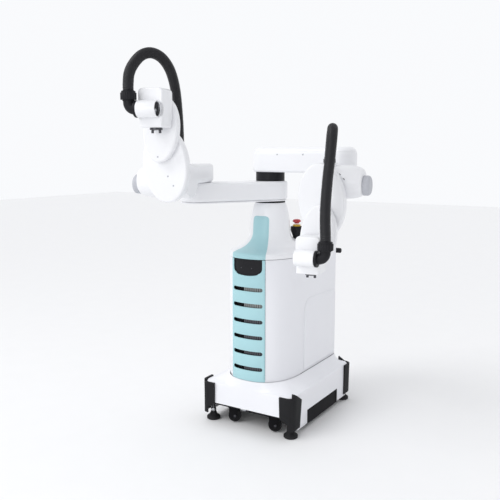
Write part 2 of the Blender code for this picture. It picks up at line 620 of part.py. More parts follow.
# ---------------------------------------------------------------- arms
def build_link1(prefix, root, end_r, low, high, lid_low, lid_high, lid_inset):
    outline = two_circle_outline(0, 0, LINK1_R0, 0, -LINK1, end_r)
    body = bevel(keep(slab(outline, low, high), f"{prefix}_link1_housing", WHITE, root), 0.006, 2)
    bore = cylinder(SHAFT_R + 0.001, low - 0.02, low + 0.060 if prefix == "upper" else high + 0.02, segments=32)
    boolean(body, cutter(bore, f"{prefix}_shaft_bore", root))
    outline = two_circle_outline(0, 0, LINK1_R0 - lid_inset, 0, -LINK1, end_r - lid_inset)
    cover = keep(slab(outline, lid_low, lid_high), f"{prefix}_link1_cover", WHITE, root)
    if prefix == "lower":
        bore = cylinder(SHAFT_R + 0.001, lid_low - 0.01, lid_high + 0.01, segments=32)
        boolean(cover, cutter(bore, "lower_cover_bore", root))
    return cover


def build_link2(prefix, hand, side, settings, box_low, box_high):
    """The second level link: a round-ended box under its elbow, and the lift drive's drum across its end."""
    drum_end, gland_t = settings["drum"], settings["gland"]
    outline = arc(0, 0, BOX_REAR, pi, 0, 14) + [(BOX_HALF, -DRUM_S - 0.030), (-BOX_HALF, -DRUM_S - 0.030)]
    body = keep(slab(outline[::-1], box_low, box_high), f"{prefix}_link2_housing", WHITE, hand)
    drum = rounded_bar(DRUM_R, DRUM_IN, drum_end, DRUM_ROUND, (-DRUM_S, DRUM_Z), side)
    boolean(body, cutter(drum, f"{prefix}_drum", hand), "UNION")
    boss = cylinder(GLAND_R + 0.004, DRUM_Z, GLAND_Z0 - GAP, (side * gland_t, -GLAND_S), segments=28)
    boolean(body, cutter(boss, f"{prefix}_gland_boss", hand), "UNION")
    front = cylinder(0.060, -LIFT_S0 + GAP, -DRUM_S, (0, LIFT_Z), "Y", 36)
    boolean(body, cutter(front, f"{prefix}_lift_seat", hand), "UNION")
    bore = cylinder(AXLE_R + AXLE_CLEAR, -LIFT_S0 - 0.01, -LIFT_S0 + AXLE_DEEP + 0.002, (0, LIFT_Z), "Y", 40)
    boolean(body, cutter(bore, f"{prefix}_lift_bore", hand))
    cap_x = sorted((side * (drum_end + GAP), side * (drum_end + CAP_HIGH)))
    cap = cylinder(CAP_R, *cap_x, (-DRUM_S, DRUM_Z - CAP_DROP), "X", 24)
    bevel(keep(cap, f"{prefix}_drive_cap", GREY, hand), 0.010, 2, 60.0)
    gland = cylinder(GLAND_R, GLAND_Z0, GLAND_Z1, (side * gland_t, -GLAND_S), segments=24)
    bevel(keep(gland, f"{prefix}_hose_gland", BLACK, hand), 0.003, 1)


def build_lift(prefix, hand, side, angle):
    """Two links of equal length that raise the wrist straight up, and the wrist they keep level."""
    direction = Vector((side * cos(angle), 0, sin(angle)))
    shoulder = Vector((0, 0, LIFT_Z))
    elbow = shoulder + direction * LINK3
    wrist = Vector((0, 0, LIFT_Z + 2 * LINK3 * sin(angle)))
    lift_axis = empty(f"{prefix}_lift_axis", hand, shoulder)
    elbow_axis = empty(f"{prefix}_follower_axis", lift_axis, elbow - shoulder)
    wrist_axis = empty(f"{prefix}_wrist_axis", elbow_axis, wrist - elbow)

    outline = oval_outline((elbow.x, elbow.z - LIFT_Z), LIFT_HALF, LIFT_LONG)
    egg = keep(slab(outline, -LIFT_S1, -LIFT_S0, "Y"), f"{prefix}_lift_link", WHITE, lift_axis)
    bevel(egg, 0.006, 1)
    axle = cylinder(AXLE_R, -LIFT_S0 - 0.010, -LIFT_S0 + AXLE_DEEP, (0, 0), "Y", 32)
    boolean(egg, cutter(axle, f"{prefix}_lift_axle", lift_axis), "UNION")
    pocket = cylinder(AXLE_R + AXLE_CLEAR, -LIFT_S1 - 0.01, -LIFT_S1 + AXLE_DEEP + 0.002,
                      (elbow.x, elbow.z - LIFT_Z), "Y", 40)
    boolean(egg, cutter(pocket, f"{prefix}_follower_bore", lift_axis))

    run = wrist - elbow
    outline = oval_outline((run.x, run.z), FOLLOW_HALF, FOLLOW_LONG)
    follower = keep(slab(outline, -FOLLOW_S1, -FOLLOW_S0, "Y"), f"{prefix}_follower_link", WHITE, elbow_axis)
    bevel(follower, 0.005, 1)
    axle = cylinder(AXLE_R, -FOLLOW_S0 - 0.010, -FOLLOW_S0 + AXLE_DEEP, (0, 0), "Y", 32)
    boolean(follower, cutter(axle, f"{prefix}_follower_axle", elbow_axis), "UNION")
    pocket = cylinder(AXLE_R + AXLE_CLEAR, -FOLLOW_S1 - 0.01, -FOLLOW_S1 + AXLE_DEEP - 0.005,
                      (run.x, run.z), "Y", 40)
    boolean(follower, cutter(pocket, f"{prefix}_wrist_bore", elbow_axis))

    build_wrist(prefix, wrist_axis, side)


def build_wrist(prefix, axis, side):
    box = block((-WRIST_HALF, -WRIST_S1, -WRIST_DOWN), (WRIST_HALF, -WRIST_S0, WRIST_UP))
    housing = bevel(keep(box, f"{prefix}_wrist_housing", WHITE, axis), 0.014, 3)
    axle = cylinder(AXLE_R, -WRIST_S0 - 0.010, -WRIST_S0 + AXLE_DEEP - 0.008, (0, 0), "Y", 32)
    boolean(housing, cutter(axle, f"{prefix}_wrist_axle", axis), "UNION")
    ends = sorted((side * SPOOL_IN, side * SPOOL_OUT))
    seat = cylinder(SPOOL_R + GAP, ends[0] - 0.02, ends[1] + 0.02, (-SPOOL_S, SPOOL_Z), "X", 32)
    boolean(housing, cutter(seat, f"{prefix}_spool_seat", axis))

    spool = keep(cylinder(SPOOL_R, *ends, (-SPOOL_S, SPOOL_Z), "X", 32), f"{prefix}_hose_spool", WHITE, axis)
    mouth = sorted((side * (SPOOL_IN - 0.01), side * (SPOOL_IN + 0.040)))
    boolean(spool, cutter(cylinder(SPOOL_R - 0.005, *mouth, (-SPOOL_S, SPOOL_Z), "X", 32),
                          f"{prefix}_spool_mouth", axis))

    build_elbow(prefix, axis, side)

    flange_top = -WRIST_DOWN - GAP
    tool = empty(f"{prefix}_tool_axis", axis, (0, -LINK2, 0))
    flange = keep(cylinder(FLANGE_R, flange_top - FLANGE_HIGH, flange_top, segments=32),
                  f"{prefix}_tool_flange", STEEL, tool)
    for offset in (-PIN_OFFSET, PIN_OFFSET):
        pin = cylinder(PIN_R, flange_top - FLANGE_HIGH - PIN_HIGH, flange_top - 0.002, (offset, 0), segments=14)
        boolean(flange, cutter(pin, f"{prefix}_tool_pin_{offset:+.3f}", tool), "UNION")


def build_elbow(prefix, axis, side):
    """The quarter-turn fitting from the spool's outer end up to the hose, with its ribbed nut."""
    start = SPOOL_OUT + GAP
    data = bpy.data.curves.new("elbow_fitting", "CURVE")
    data.dimensions = "3D"
    data.bevel_depth = ELBOW_R
    data.bevel_resolution = 4
    data.use_fill_caps = True
    turn = arc(NUT_T - ELBOW_BEND, SPOOL_Z + ELBOW_BEND, ELBOW_BEND, -pi / 2, 0, 6)
    points = [(start, SPOOL_Z)] + turn + [(NUT_T, NUT_Z0 + 0.010)]
    spline = data.splines.new("POLY")
    spline.points.add(len(points) - 1)
    for point, (t, z) in zip(spline.points, points):
        point.co = (side * t, -SPOOL_S, z, 1)
    fitting = keep(baked(bpy.data.objects.new("elbow", data)), f"{prefix}_elbow_fitting", BLACK, axis)
    ends = sorted((side * start, side * (start + ELBOW_COLLAR)))
    collar = cylinder(SPOOL_R, *ends, (-SPOOL_S, SPOOL_Z), "X", 32)
    boolean(fitting, cutter(collar, f"{prefix}_elbow_collar", axis), "UNION")
    nut = cylinder(NUT_R, NUT_Z0, NUT_Z1, (side * NUT_T, -SPOOL_S), segments=20)
    boolean(fitting, cutter(nut, f"{prefix}_elbow_nut", axis), "UNION")


def smooth_route(points, count):
    """Evenly spaced points on the smooth curve through a route's points."""
    pts = [Vector(p) for p in points]
    pts = [2 * pts[0] - pts[1]] + pts + [2 * pts[-1] - pts[-2]]
    fine = []
    for a, b, c, d in zip(pts, pts[1:], pts[2:], pts[3:]):
        for i in range(24):
            t = i / 24
            fine.append(0.5 * ((2 * b) + (c - a) * t + (2 * a - 5 * b + 4 * c - d) * t * t
                               + (3 * b - a - 3 * c + d) * t ** 3))
    fine.append(pts[-2])
    runs = [0.0]
    for a, b in zip(fine, fine[1:]):
        runs.append(runs[-1] + (b - a).length)
    out, k = [], 0
    for i in range(count):
        want = runs[-1] * i / (count - 1)
        while k < len(runs) - 2 and runs[k + 1] < want:
            k += 1
        share = (want - runs[k]) / max(runs[k + 1] - runs[k], 1e-9)
        out.append(fine[k].lerp(fine[k + 1], min(share, 1.0)))
    return out


def build_hose(prefix, hand, side, route):
    data = bpy.data.curves.new(f"{prefix}_hose", "CURVE")
    data.dimensions = "3D"
    data.bevel_depth = HOSE_R
    data.bevel_resolution = 3
    data.use_fill_caps = True
    route = [Vector((side * t, -s, z)) for s, t, z in route]
    points = [route[0]] + smooth_route(route[1:-1], HOSE_POINTS - 2) + [route[-1]]
    spline = data.splines.new("POLY")
    spline.points.add(len(points) - 1)
    for point, place in zip(spline.points, points):
        point.co = (*place, 1)
    hose = bpy.data.objects.new(f"{prefix}_hose", data)
    data.materials.append(BLACK)
    hose.parent = hand
    parts.objects.link(hose)


def build_arm(prefix, link1_name, end_r, link1_z, cover_z, cover_inset, box_z):
    settings = ARMS[prefix]
    root = empty(f"{link1_name}_arm_axis", robot, (0, NECK_Y, 0), settings["heading1"])
    cover = build_link1(link1_name, root, end_r, *link1_z, *cover_z, cover_inset)
    bevel(cover, *((0.018, 3) if cover_z[0] > link1_z[0] else (0.0015, 1)))
    turn = settings["heading2"] - settings["heading1"]
    hand = empty(f"{prefix}_elbow_axis", root, (0, -LINK1, 0), turn)
    build_link2(prefix, hand, settings["side"], settings, *box_z)
    build_lift(prefix, hand, settings["side"], settings["lift"])
    build_hose(prefix, hand, settings["side"], HOSE_ROUTES[prefix])


# ---------------------------------------------------------------- the whole robot
build_base_shroud()
build_chassis()
for x_name, x_sign in (("left", -1), ("right", 1)):
    for y_name, y_sign in (("front", -1), ("rear", 1)):
        corner = f"{y_name}_{x_name}"
        build_bumper(f"{corner}_bumper", x_sign, y_sign)
        build_foot(f"{corner}_foot", x_sign * FOOT_X, y_sign * FOOT_Y)
        build_caster(f"{corner}_caster", x_sign * CASTER_X, y_sign * CASTER_Y)
    build_side_cover(f"{x_name}_side_cover", x_sign)
build_cabinet_shell()
build_front_panel()
build_rear_door()
build_handle()
build_inside()
build_neck()
build_rings()
build_estop()
build_arm("left", "lower", LOWER_R1, (LOWER_Z0 + 0.006, LOWER_Z1), (LOWER_Z0, LOWER_Z0 + 0.006 - GAP),
          0.004, (LOWER_Z1 + GAP, 1.2265))
build_arm("right", "upper", UPPER_R1, (UPPER_Z0, UPPER_Z1), (UPPER_Z1 + GAP, UPPER_Z1 + LID_HIGH),
          0.003, (1.0980, UPPER_Z0 - GAP))
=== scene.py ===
"""The looks of a dual-arm SCARA robot: a wheeled cart and a cabinet tower under two stacked arms.

Pieces that replace a CAD node are rebuilt here at a finer resolution, with their small details.
Places come from the frame's boxes and joints. In an arm's own frame, t points outward, s forward
along the second link from its elbow axis, and z up.
"""

import json
from math import atan2, cos, hypot, pi, radians, sin, sqrt

import bmesh
import bpy
from mathutils import Matrix, Vector


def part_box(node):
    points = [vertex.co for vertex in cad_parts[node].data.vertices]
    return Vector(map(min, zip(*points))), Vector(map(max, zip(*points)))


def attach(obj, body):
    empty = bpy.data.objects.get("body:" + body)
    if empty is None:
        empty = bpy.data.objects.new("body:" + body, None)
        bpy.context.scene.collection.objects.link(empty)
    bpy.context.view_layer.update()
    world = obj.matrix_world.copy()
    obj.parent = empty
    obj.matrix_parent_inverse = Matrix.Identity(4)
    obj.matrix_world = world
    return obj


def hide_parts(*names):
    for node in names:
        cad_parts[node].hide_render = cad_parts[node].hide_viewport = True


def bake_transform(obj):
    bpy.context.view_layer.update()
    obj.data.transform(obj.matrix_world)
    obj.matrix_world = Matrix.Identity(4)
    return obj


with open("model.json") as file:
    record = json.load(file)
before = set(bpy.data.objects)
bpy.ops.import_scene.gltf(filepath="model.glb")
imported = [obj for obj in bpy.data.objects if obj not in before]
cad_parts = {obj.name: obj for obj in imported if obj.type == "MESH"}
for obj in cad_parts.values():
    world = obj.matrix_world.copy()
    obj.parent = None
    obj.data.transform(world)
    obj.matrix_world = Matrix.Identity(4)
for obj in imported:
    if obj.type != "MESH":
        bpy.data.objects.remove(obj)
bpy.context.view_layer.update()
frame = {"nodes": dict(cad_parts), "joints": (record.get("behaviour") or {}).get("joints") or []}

# ---------------------------------------------------------------- dimensions, in metres
GAP = 0.0003
BEYOND = 1.0                                    # far enough to cut through anything
CAMERA_PLACE, CAMERA_PITCH, CAMERA_TURN, LENS, SENSOR = (1.4243, -2.5083, 1.27), 8.3, 31.7, 47.8, 36.0

# cart: skirt, shoulder that sweeps up to the cabinet, legs and the black edge under the front
SHROUD_WALL, SKIRT_HIGH, SHOULDER_Z = 0.004, 0.066, 0.188
SHOULDER_EDGE = ((0.0, -0.006), (0.008, 0.001), (0.03, 0.005))    # share of the way in, height over SHOULDER_Z
SWEEP_START, SWEEP_RISE, SWEEP_POWER, SWEEP_STEPS = 0.06, 0.0085, 1.45, 9
LEG_FRONT, LEG_REAR = (0.053, 0.151), (-0.144, -0.046)            # from the cart's front, and from its rear
CART_CORNER, CART_SKIRT = 0.031, 0.096
SILL_LOW, SILL_BACK, SILL_DEEP, SILL_HALF = 0.0868, 0.0045, 0.006, 0.172
SILL_GAP, CATCH = (-0.045, 0.005), (-0.035, -0.007)

# bumpers: how far each wing reaches, the notch beside the caster, and the heights of their tops
GUARD_WALL, GUARD_WING, GUARD_EDGE, GUARD_LEAN, LEAN_RATE = 0.0115, 0.1755, 0.0035, 0.008, 0.06
GUARD_NOTCH, NOTCH_DEEP = ((0.150, 0.107), (0.215, 0.066)), 0.115
GUARD_TOP, GUARD_SLOPE_LOW, GUARD_HORN = 0.194, 0.172, 0.010
REAR_RISE = ((0.140, 0.234), (GUARD_WING, 0.214))

STUD_R, THREAD_R, THREAD_ROOT, THREAD_PITCH = 0.0080, 0.0086, 0.0076, 0.0019
LOCK_NUT_R, LOCK_NUT_Z, SOCKET_R, SOCKET_HIGH = 0.0142, (0.040, 0.052), 0.014, 0.010
WHEEL_HALF, AXLE_HEAD_R, AXLE_HEAD = 0.011, 0.0062, (0.0050, 0.0095)

# cabinet and neck
NOSE_LENGTH, NOSE_POWER = 0.400, 2.4            # where the convex front starts, ahead of the rear; its roundness
CAB_CORNER, CAB_WALL, PANEL_GROW, PANEL_WALL = 0.036, 0.003, 0.002, 0.004
PLINTH_IN, PLINTH_WALL, PLINTH_Z = 0.0036, 0.001, (-0.016, 0.010)
SLOTS, SLOT_TOP, SLOT_PITCH, SLOT_HIGH, SLOT_HALF = 6, 0.664, 0.0736, 0.018, 0.0765
VENT_RIBS, VENT_RIB_START, VENT_RIB_PITCH, VENT_RIB_DEEP, VENT_RIB_WALL = 9, -0.017, 0.0105, 0.006, 0.0012
# painted shade: a black sheet behind the slots darkens the inside of the cabinet; its inset from the panel's sides,
# depth behind the front, thickness, heights
SHADE_SHEET_IN, SHADE_SHEET_DEEP, SHADE_SHEET_WALL, SHADE_SHEET_Z = 0.002, 0.014, 0.001, (0.262, 0.715)
POCKET_HALF, POCKET_LOW, POCKET_CORNER, POCKET_SAG, POCKET_DEEP = 0.0745, 0.726, 0.024, 0.010, 0.003
POCKET_SCREWS, POCKET_SCREW_R, POCKET_SCREW_UP = {"left": -0.030, "right": 0.024}, 0.0028, 0.034
SIDE_CORNER, SIDE_BEVEL = 0.060, 0.020
REAR_VENTS, REAR_VENT_TOP, REAR_VENT_PITCH, REAR_VENT_HALF, REAR_VENT_R = 7, 0.075, 0.016, 0.060, 0.0032
DOOR_SCREW_X, DOOR_SCREW_Z, DOOR_SCREW_R = 0.014, 0.030, 0.0045
HANDLE_POST_X, HANDLE_EDGE = 0.120, 0.005
NECK_PROFILE = [                                # share of the way out to the cabinet, radius, height
    (1.00, 0.095, 0.8020), (1.00, 0.095, 0.8120), (0.985, 0.095, 0.8200), (0.95, 0.095, 0.8250),
    (0.75, 0.095, 0.8330), (0.50, 0.095, 0.8420), (0.28, 0.095, 0.8560), (0.10, 0.095, 0.8760),
    (0.0, 0.095, 0.9050), (0.0, 0.091, 0.9600), (0.0, 0.084, 1.0050), (0.0, 0.077, 1.0300),
    (0.0, 0.0705, 1.0430),
]
NECK_BORE, RING_BORE, LINK_BORE = 0.0525, 0.036, 0.035
INSET_TOP_HALF, INSET_FOOT_HALF, INSET_TOP, INSET_CORNER = radians(27.5), radians(24.4), 0.985, 0.018
INSET_FOOT, INSET_HIGH, INSET_OUT, INSET_IN = 0.8022, 0.0036, 0.0004, -0.0006

# arms
ELBOW_BOX_HALF, ELBOW_BOX_REAR, BOX_EDGE = 0.064, 0.073, 0.019
BOXES = {"left": (1.1433, 1.2265, 0.162), "right": (1.0980, 1.1847, 0.150)}   # bottom, top, reach of the drum
LINK1_R0, LOWER_R1, UPPER_R1, LINK1 = 0.080, 0.075, 0.064, 0.370
LINK1_EDGE, CROWN_HIGH, CROWN_WIDE, LID_INSET, PLATE_INSET = 0.011, 0.036, 0.032, 0.0008, 0.004
LINK1_SCREWS, LINK1_SCREW_R, LINK1_SCREW_DOWN = (0.085, 0.215), 0.0034, 0.012
DRUM_S, DRUM_Z, DRUM_R, DRUM_IN, DRUM_EDGE, DRUM_DROP, DRUM_RUN = 0.217, 1.156, 0.0675, -0.064, 0.006, 0.022, 0.072
DRUM_MARKS, MARK_TURN, MARK_HALF, MARK_R = ((0.069, 0.031), (0.086, 0.014)), radians(-48), 0.0035, 0.0014
CAP_R, CAP_LONG, CAP_DOWN = 0.040, 0.028, 0.013
LIFT_HALF, LIFT_LONG, FOLLOW_HALF, FOLLOW_LONG = 0.094, 0.148, 0.072, 0.126
LIFT_S0, LIFT_S1, FOLLOW_S0, FOLLOW_S1 = 0.285, 0.330, 0.3305, 0.367
SEAT_R, AXLE_R, AXLE_FREE, BORE_DEEP, PLUG_R = 0.060, 0.024, 0.0006, 0.022, 0.0036
WRIST_S0, WRIST_S1, WRIST_HALF, WRIST_STEP, WRIST_ROUND = 0.368, 0.465, 0.049, 0.004, 0.016
WRIST_DOWN, WRIST_UP = 0.064, 0.080
SPOOL_S, SPOOL_Z, SPOOL_R, SPOOL_IN, SPOOL_OUT, SPOOL_WALL = 0.486, 0.0015, 0.0315, -0.040, 0.038, 0.0028
ELBOW_R, ELBOW_BEND, ELBOW_COLLAR, NUT_R, NUT_Z0, NUT_Z1, NUT_T = 0.020, 0.024, 0.010, 0.030, 0.0355, 0.068, 0.0762
NUT_GRIP, NUT_TEETH = 0.0014, 20
GLAND_S, GLAND_R, GLAND_NUT_R, GLAND_GRIP, GLAND_TEETH = 0.233, 0.027, 0.0245, 0.0012, 24
FLANGE_R, FLANGE_HIGH, PIN_R, PIN_OFFSET = 0.024, 0.008, 0.005, 0.015
FLANGE_SCREWS, FLANGE_SCREW_AT, FLANGE_SCREW_R = 4, 0.0185, 0.0026
HOSE_R, RIB_PITCH, RIB_DEEP, HOSE_SIDES = 0.0205, 0.0046, 0.0012, 28
HOSE_END = {"left": 0.270, "right": 0.255}      # length of the first and of the last part of each hose

# where each hose runs, as in the CAD source: s forward of the elbow axis, t outward, height
HOSE_ROUTES = {
    "left": [
        (0.2330, -0.0170, 1.2553), (0.2330, -0.0170, 1.2700), (0.2345, -0.0170, 1.3200),
        (0.2380, -0.0170, 1.3800), (0.2450, -0.0165, 1.4400), (0.2560, -0.0150, 1.5050),
        (0.2740, -0.0110, 1.5600), (0.3000, -0.0030, 1.6030), (0.3350, 0.0120, 1.6340),
        (0.3750, 0.0330, 1.6450), (0.4150, 0.0530, 1.6320), (0.4500, 0.0690, 1.5980),
        (0.4760, 0.0758, 1.5600), (0.4860, 0.0762, 1.5180), (0.4860, 0.0762, 1.4971),
    ],
    "right": [
        (0.2330, 0.0120, 1.2553), (0.2330, 0.0120, 1.2660), (0.2410, 0.0175, 1.3020),
        (0.2620, 0.0270, 1.3405), (0.2880, 0.0375, 1.3600), (0.3180, 0.0470, 1.3640),
        (0.3500, 0.0565, 1.3550), (0.3760, 0.0625, 1.3320), (0.3940, 0.0650, 1.2960),
        (0.4100, 0.0650, 1.2420), (0.4250, 0.0630, 1.1820), (0.4450, 0.0625, 1.0920),
        (0.4640, 0.0670, 1.0250), (0.4810, 0.0740, 0.9750), (0.4860, 0.0762, 0.9600),
        (0.4860, 0.0762, 0.9481),
    ],
}


# ---------------------------------------------------------------- materials
COAT_ROUGH, DRIFT_SCALE, GRAIN_DEEP = 0.12, 7.0, 0.0006
WORN_FROM, WORN_TO = 0.52, 0.60                 # how sharp an edge is where wear starts, and where it is full


def new_node(tree, kind, data_type=None, **inputs):
    """A shader node; an input is either a value or the output that feeds it."""
    node = tree.nodes.new(f"ShaderNode{kind}")
    if data_type:
        node.data_type = data_type
    for name, value in inputs.items():
        socket = node.inputs[name.replace("_", " ")]
        if isinstance(value, bpy.types.NodeSocket):
            tree.links.new(value, socket)
        else:
            socket.default_value = value
    return node


def surface(name, colour, shade, rough, grain, bump, metallic=0.0, coat=0.0, stretch=(1, 1, 1), wear=0.0,
            gloss=0.5):
    """Colour that drifts to a second shade, uneven roughness and a fine grain, with paler worn edges."""
    mat = bpy.data.materials.new(name)
    mat.use_nodes = True
    tree = mat.node_tree
    shader = tree.nodes["Principled BSDF"]
    for socket, value in (("Metallic", metallic), ("Coat Weight", coat), ("Coat Roughness", COAT_ROUGH),
                          ("Specular IOR Level", gloss)):
        shader.inputs[socket].default_value = value
    place = new_node(tree, "TexCoord").outputs["Object"]
    place = new_node(tree, "Mapping", Vector=place, Scale=stretch).outputs["Vector"]
    drift = new_node(tree, "TexNoise", Vector=place, Scale=DRIFT_SCALE, Detail=5.0).outputs["Fac"]
    tint = new_node(tree, "Mix", "RGBA", A=(*colour, 1), B=(*shade, 1), Factor=drift).outputs["Result"]
    if wear > 0:
        edge = new_node(tree, "NewGeometry").outputs["Pointiness"]
        edge = new_node(tree, "MapRange", Value=edge, From_Min=WORN_FROM, From_Max=WORN_TO, To_Max=wear)
        pale = tuple(min(1.0, c * 1.6 + 0.05) for c in colour) + (1,)
        tint = new_node(tree, "Mix", "RGBA", A=tint, B=pale, Factor=edge.outputs["Result"]).outputs["Result"]
    spread = new_node(tree, "MapRange", Value=drift, To_Min=rough[0], To_Max=rough[1])
    fine = new_node(tree, "TexNoise", Vector=place, Scale=grain, Detail=3.0)
    relief = new_node(tree, "Bump", Strength=bump, Distance=GRAIN_DEEP, Height=fine.outputs["Fac"])
    for output, socket in ((tint, "Base Color"), (spread.outputs["Result"], "Roughness"),
                           (relief.outputs["Normal"], "Normal")):
        tree.links.new(output, shader.inputs[socket])
    return mat


PAINT = surface("white_powder_coat", (0.83, 0.835, 0.87), (0.80, 0.805, 0.84), (0.30, 0.42), 900, 0.06, coat=0.15)
CASTING = surface("white_casting", (0.85, 0.855, 0.875), (0.82, 0.825, 0.85), (0.26, 0.38), 700, 0.05, coat=0.25)
TEAL = surface("teal_plastic", (0.40, 0.64, 0.68), (0.35, 0.59, 0.64), (0.36, 0.50), 500, 0.18, coat=0.05)
BLACK = surface("black_plastic", (0.010, 0.010, 0.012), (0.018, 0.018, 0.021), (0.34, 0.50), 1100, 0.30, gloss=0.15)
BLACK_STEEL = surface("black_painted_steel", (0.007, 0.007, 0.008), (0.013, 0.013, 0.015), (0.38, 0.55), 800, 0.15,
                      gloss=0.05)
RUBBER = surface("black_rubber", (0.010, 0.010, 0.011), (0.020, 0.020, 0.022), (0.50, 0.68), 600, 0.35, wear=0.2,
                 gloss=0.12)
HOSE = surface("ribbed_hose", (0.007, 0.007, 0.009), (0.014, 0.014, 0.017), (0.32, 0.46), 900, 0.20, wear=0.1,
               gloss=0.3)
STEEL = surface("machined_steel", (0.56, 0.57, 0.59), (0.44, 0.45, 0.47), (0.20, 0.36), 260, 0.10, 1.0,
                stretch=(1, 1, 9))
DARK_STEEL = surface("dark_steel", (0.07, 0.07, 0.08), (0.12, 0.12, 0.13), (0.30, 0.45), 300, 0.10, 1.0)
ZINC = surface("zinc_plate", (0.30, 0.31, 0.30), (0.20, 0.21, 0.21), (0.35, 0.50), 300, 0.15, 1.0)
ALUMINIUM = surface("brushed_aluminium", (0.72, 0.73, 0.75), (0.62, 0.63, 0.66), (0.28, 0.42), 220, 0.10, 1.0,
                    stretch=(12, 1, 1))
GREY = surface("grey_plastic", (0.50, 0.51, 0.55), (0.44, 0.45, 0.49), (0.38, 0.50), 700, 0.12)
RED = surface("red_plastic", (0.50, 0.020, 0.035), (0.40, 0.012, 0.025), (0.25, 0.38), 500, 0.05, coat=0.3)
YELLOW = surface("yellow_plastic", (0.72, 0.47, 0.04), (0.60, 0.38, 0.03), (0.32, 0.45), 500, 0.06)


# ---------------------------------------------------------------- studio
FLOOR_HALF, FLOOR_DOWN = 14.0, 0.001
SKY_NEAR, SKY_FAR, SKY_BRIGHT_SIDE = 0.70, 0.98, (-0.50, 0.85, 0.0)     # darkest, brightest, and where brightest
SKY_SPAN, SKY_COLOUR = (-0.9, 0.5), (0.97, 0.98, 1.0, 1)
SUN_TURN, SUN_POWER, SUN_SOFT = (radians(48), 0, radians(-32)), 0.78, radians(30)
LIGHTS = (("key", (-2.9, -2.6, 3.0), 2.4, 18), ("front", (0.5, -4.2, 1.7), 2.0, 27))
LIGHT_AIM = Vector((0, 0, 0.8))


# ---------------------------------------------------------------- shapes
def arc(cx, cy, r, start, end, count):
    return [(cx + r * cos(start + (end - start) * i / count), cy + r * sin(start + (end - start) * i / count))
            for i in range(count + 1)]


def rectangle(x0, x1, y0, y1):
    return [(x0, y0), (x1, y0), (x1, y1), (x0, y1)]


def stadium(x0, x1, y, r, count):
    """The outline of a slot with round ends, centred at x0 and x1."""
    return arc(x1, y, r, -pi / 2, pi / 2, count) + arc(x0, y, r, pi / 2, 1.5 * pi, count)


def gripped(x, y, r, deep, teeth, count):
    """A circle with teeth waves round it, for a nut's grip."""
    turns = [2 * pi * i / count for i in range(count)]
    radii = [r - deep * (1 - cos(teeth * turn)) / 2 for turn in turns]
    return [(x + radius * cos(turn), y + radius * sin(turn)) for turn, radius in zip(turns, radii)]


def prism(outline, low, high, axis="Z"):
    """A closed solid of an outline in the two axes other than its own, from low to high."""
    bm = bmesh.new()
    order = {"Z": lambda a, b, c: (a, b, c), "Y": lambda a, b, c: (a, c, b), "X": lambda a, b, c: (c, a, b)}[axis]
    bottom = [bm.verts.new(order(a, b, low)) for a, b in outline]
    top = [bm.verts.new(order(a, b, high)) for a, b in outline]
    for i in range(len(outline)):
        j = (i + 1) % len(outline)
        bm.faces.new((bottom[i], bottom[j], top[j], top[i]))
    bm.faces.new(bottom[::-1])
    bm.faces.new(top)
    return bm


def loft(rings, caps=True, joined=False):
    """A skin through closed rings of equal length, with end caps, or with its last ring joined to its first."""
    bm = bmesh.new()
    rows = [[bm.verts.new(p) for p in ring] for ring in rings]
    count = len(rows[0])
    for low, high in zip(rows, rows[1:]):
        for i in range(count):
            j = (i + 1) % count
            bm.faces.new((low[i], low[j], high[j], high[i]))
    if joined:
        for i in range(count):
            j = (i + 1) % count
            bm.faces.new((rows[0][i], rows[0][j], rows[-1][j], rows[-1][i]))
    elif caps:
        bm.faces.new(rows[0][::-1])
        bm.faces.new(rows[-1])
    return bm


def turned(profile, place=(0, 0, 0), axis="Z", steps=48):
    """A solid of revolution of a (radius, height) profile that starts and ends on its axis."""
    bm = bmesh.new()
    rows = []
    for r, h in profile:
        if r < 1e-6:
            rows.append([bm.verts.new((0, 0, h))])
        else:
            rows.append([bm.verts.new((r * cos(2 * pi * i / steps), r * sin(2 * pi * i / steps), h))
                         for i in range(steps)])
    for low, high in zip(rows, rows[1:]):
        for i in range(steps):
            j = (i + 1) % steps
            corners = [low[i % len(low)], low[j % len(low)], high[j % len(high)], high[i % len(high)]]
            corners = [v for k, v in enumerate(corners) if v not in corners[:k]]
            bm.faces.new(corners)
    turns = {"Z": Matrix.Identity(4), "X": Matrix.Rotation(pi / 2, 4, "Y"), "Y": Matrix.Rotation(-pi / 2, 4, "X")}
    bm.transform(Matrix.Translation(place) @ turns[axis])
    return bm


def rounded(radius, low, high, edge, far=None, steps=5):
    """Profile of a round bar from low to high whose two ends have rounded edges."""
    far = edge if far is None else far
    start = [(radius - edge + edge * sin(pi / 2 * i / steps), low + edge - edge * cos(pi / 2 * i / steps))
             for i in range(steps + 1)]
    end = [(radius - far + far * cos(pi / 2 * i / steps), high - far + far * sin(pi / 2 * i / steps))
           for i in range(steps + 1)]
    return [(0, low)] + start + end + [(0, high)]


def rod(radius, low, high, edge, place=(0, 0, 0), axis="Z", steps=48):
    return solid(turned(rounded(radius, low, high, edge), place, axis, steps))


def domed(radius, low, high, edge, drop, run, steps=10):
    """Profile of a round bar whose far end draws in along a quarter of an ellipse."""
    start = [(radius - edge + edge * sin(pi / 2 * i / 4), low + edge - edge * cos(pi / 2 * i / 4)) for i in range(5)]
    end = [(radius - drop + drop * cos(pi / 2 * i / steps), high - run + run * sin(pi / 2 * i / steps))
           for i in range(steps + 1)]
    return [(0, low)] + start + end + [(0, high)]


def tube(points, radii, sides, start_up):
    """A tube through points with a radius at each, its rings kept from twisting."""
    side = Vector(start_up)
    rings = []
    for i, point in enumerate(points):
        ahead = (points[min(i + 1, len(points) - 1)] - points[max(i - 1, 0)]).normalized()
        side = (side - ahead * side.dot(ahead)).normalized()
        other = ahead.cross(side)
        rings.append([point + radii[i] * (side * cos(2 * pi * k / sides) + other * sin(2 * pi * k / sides))
                      for k in range(sides)])
    return loft(rings)


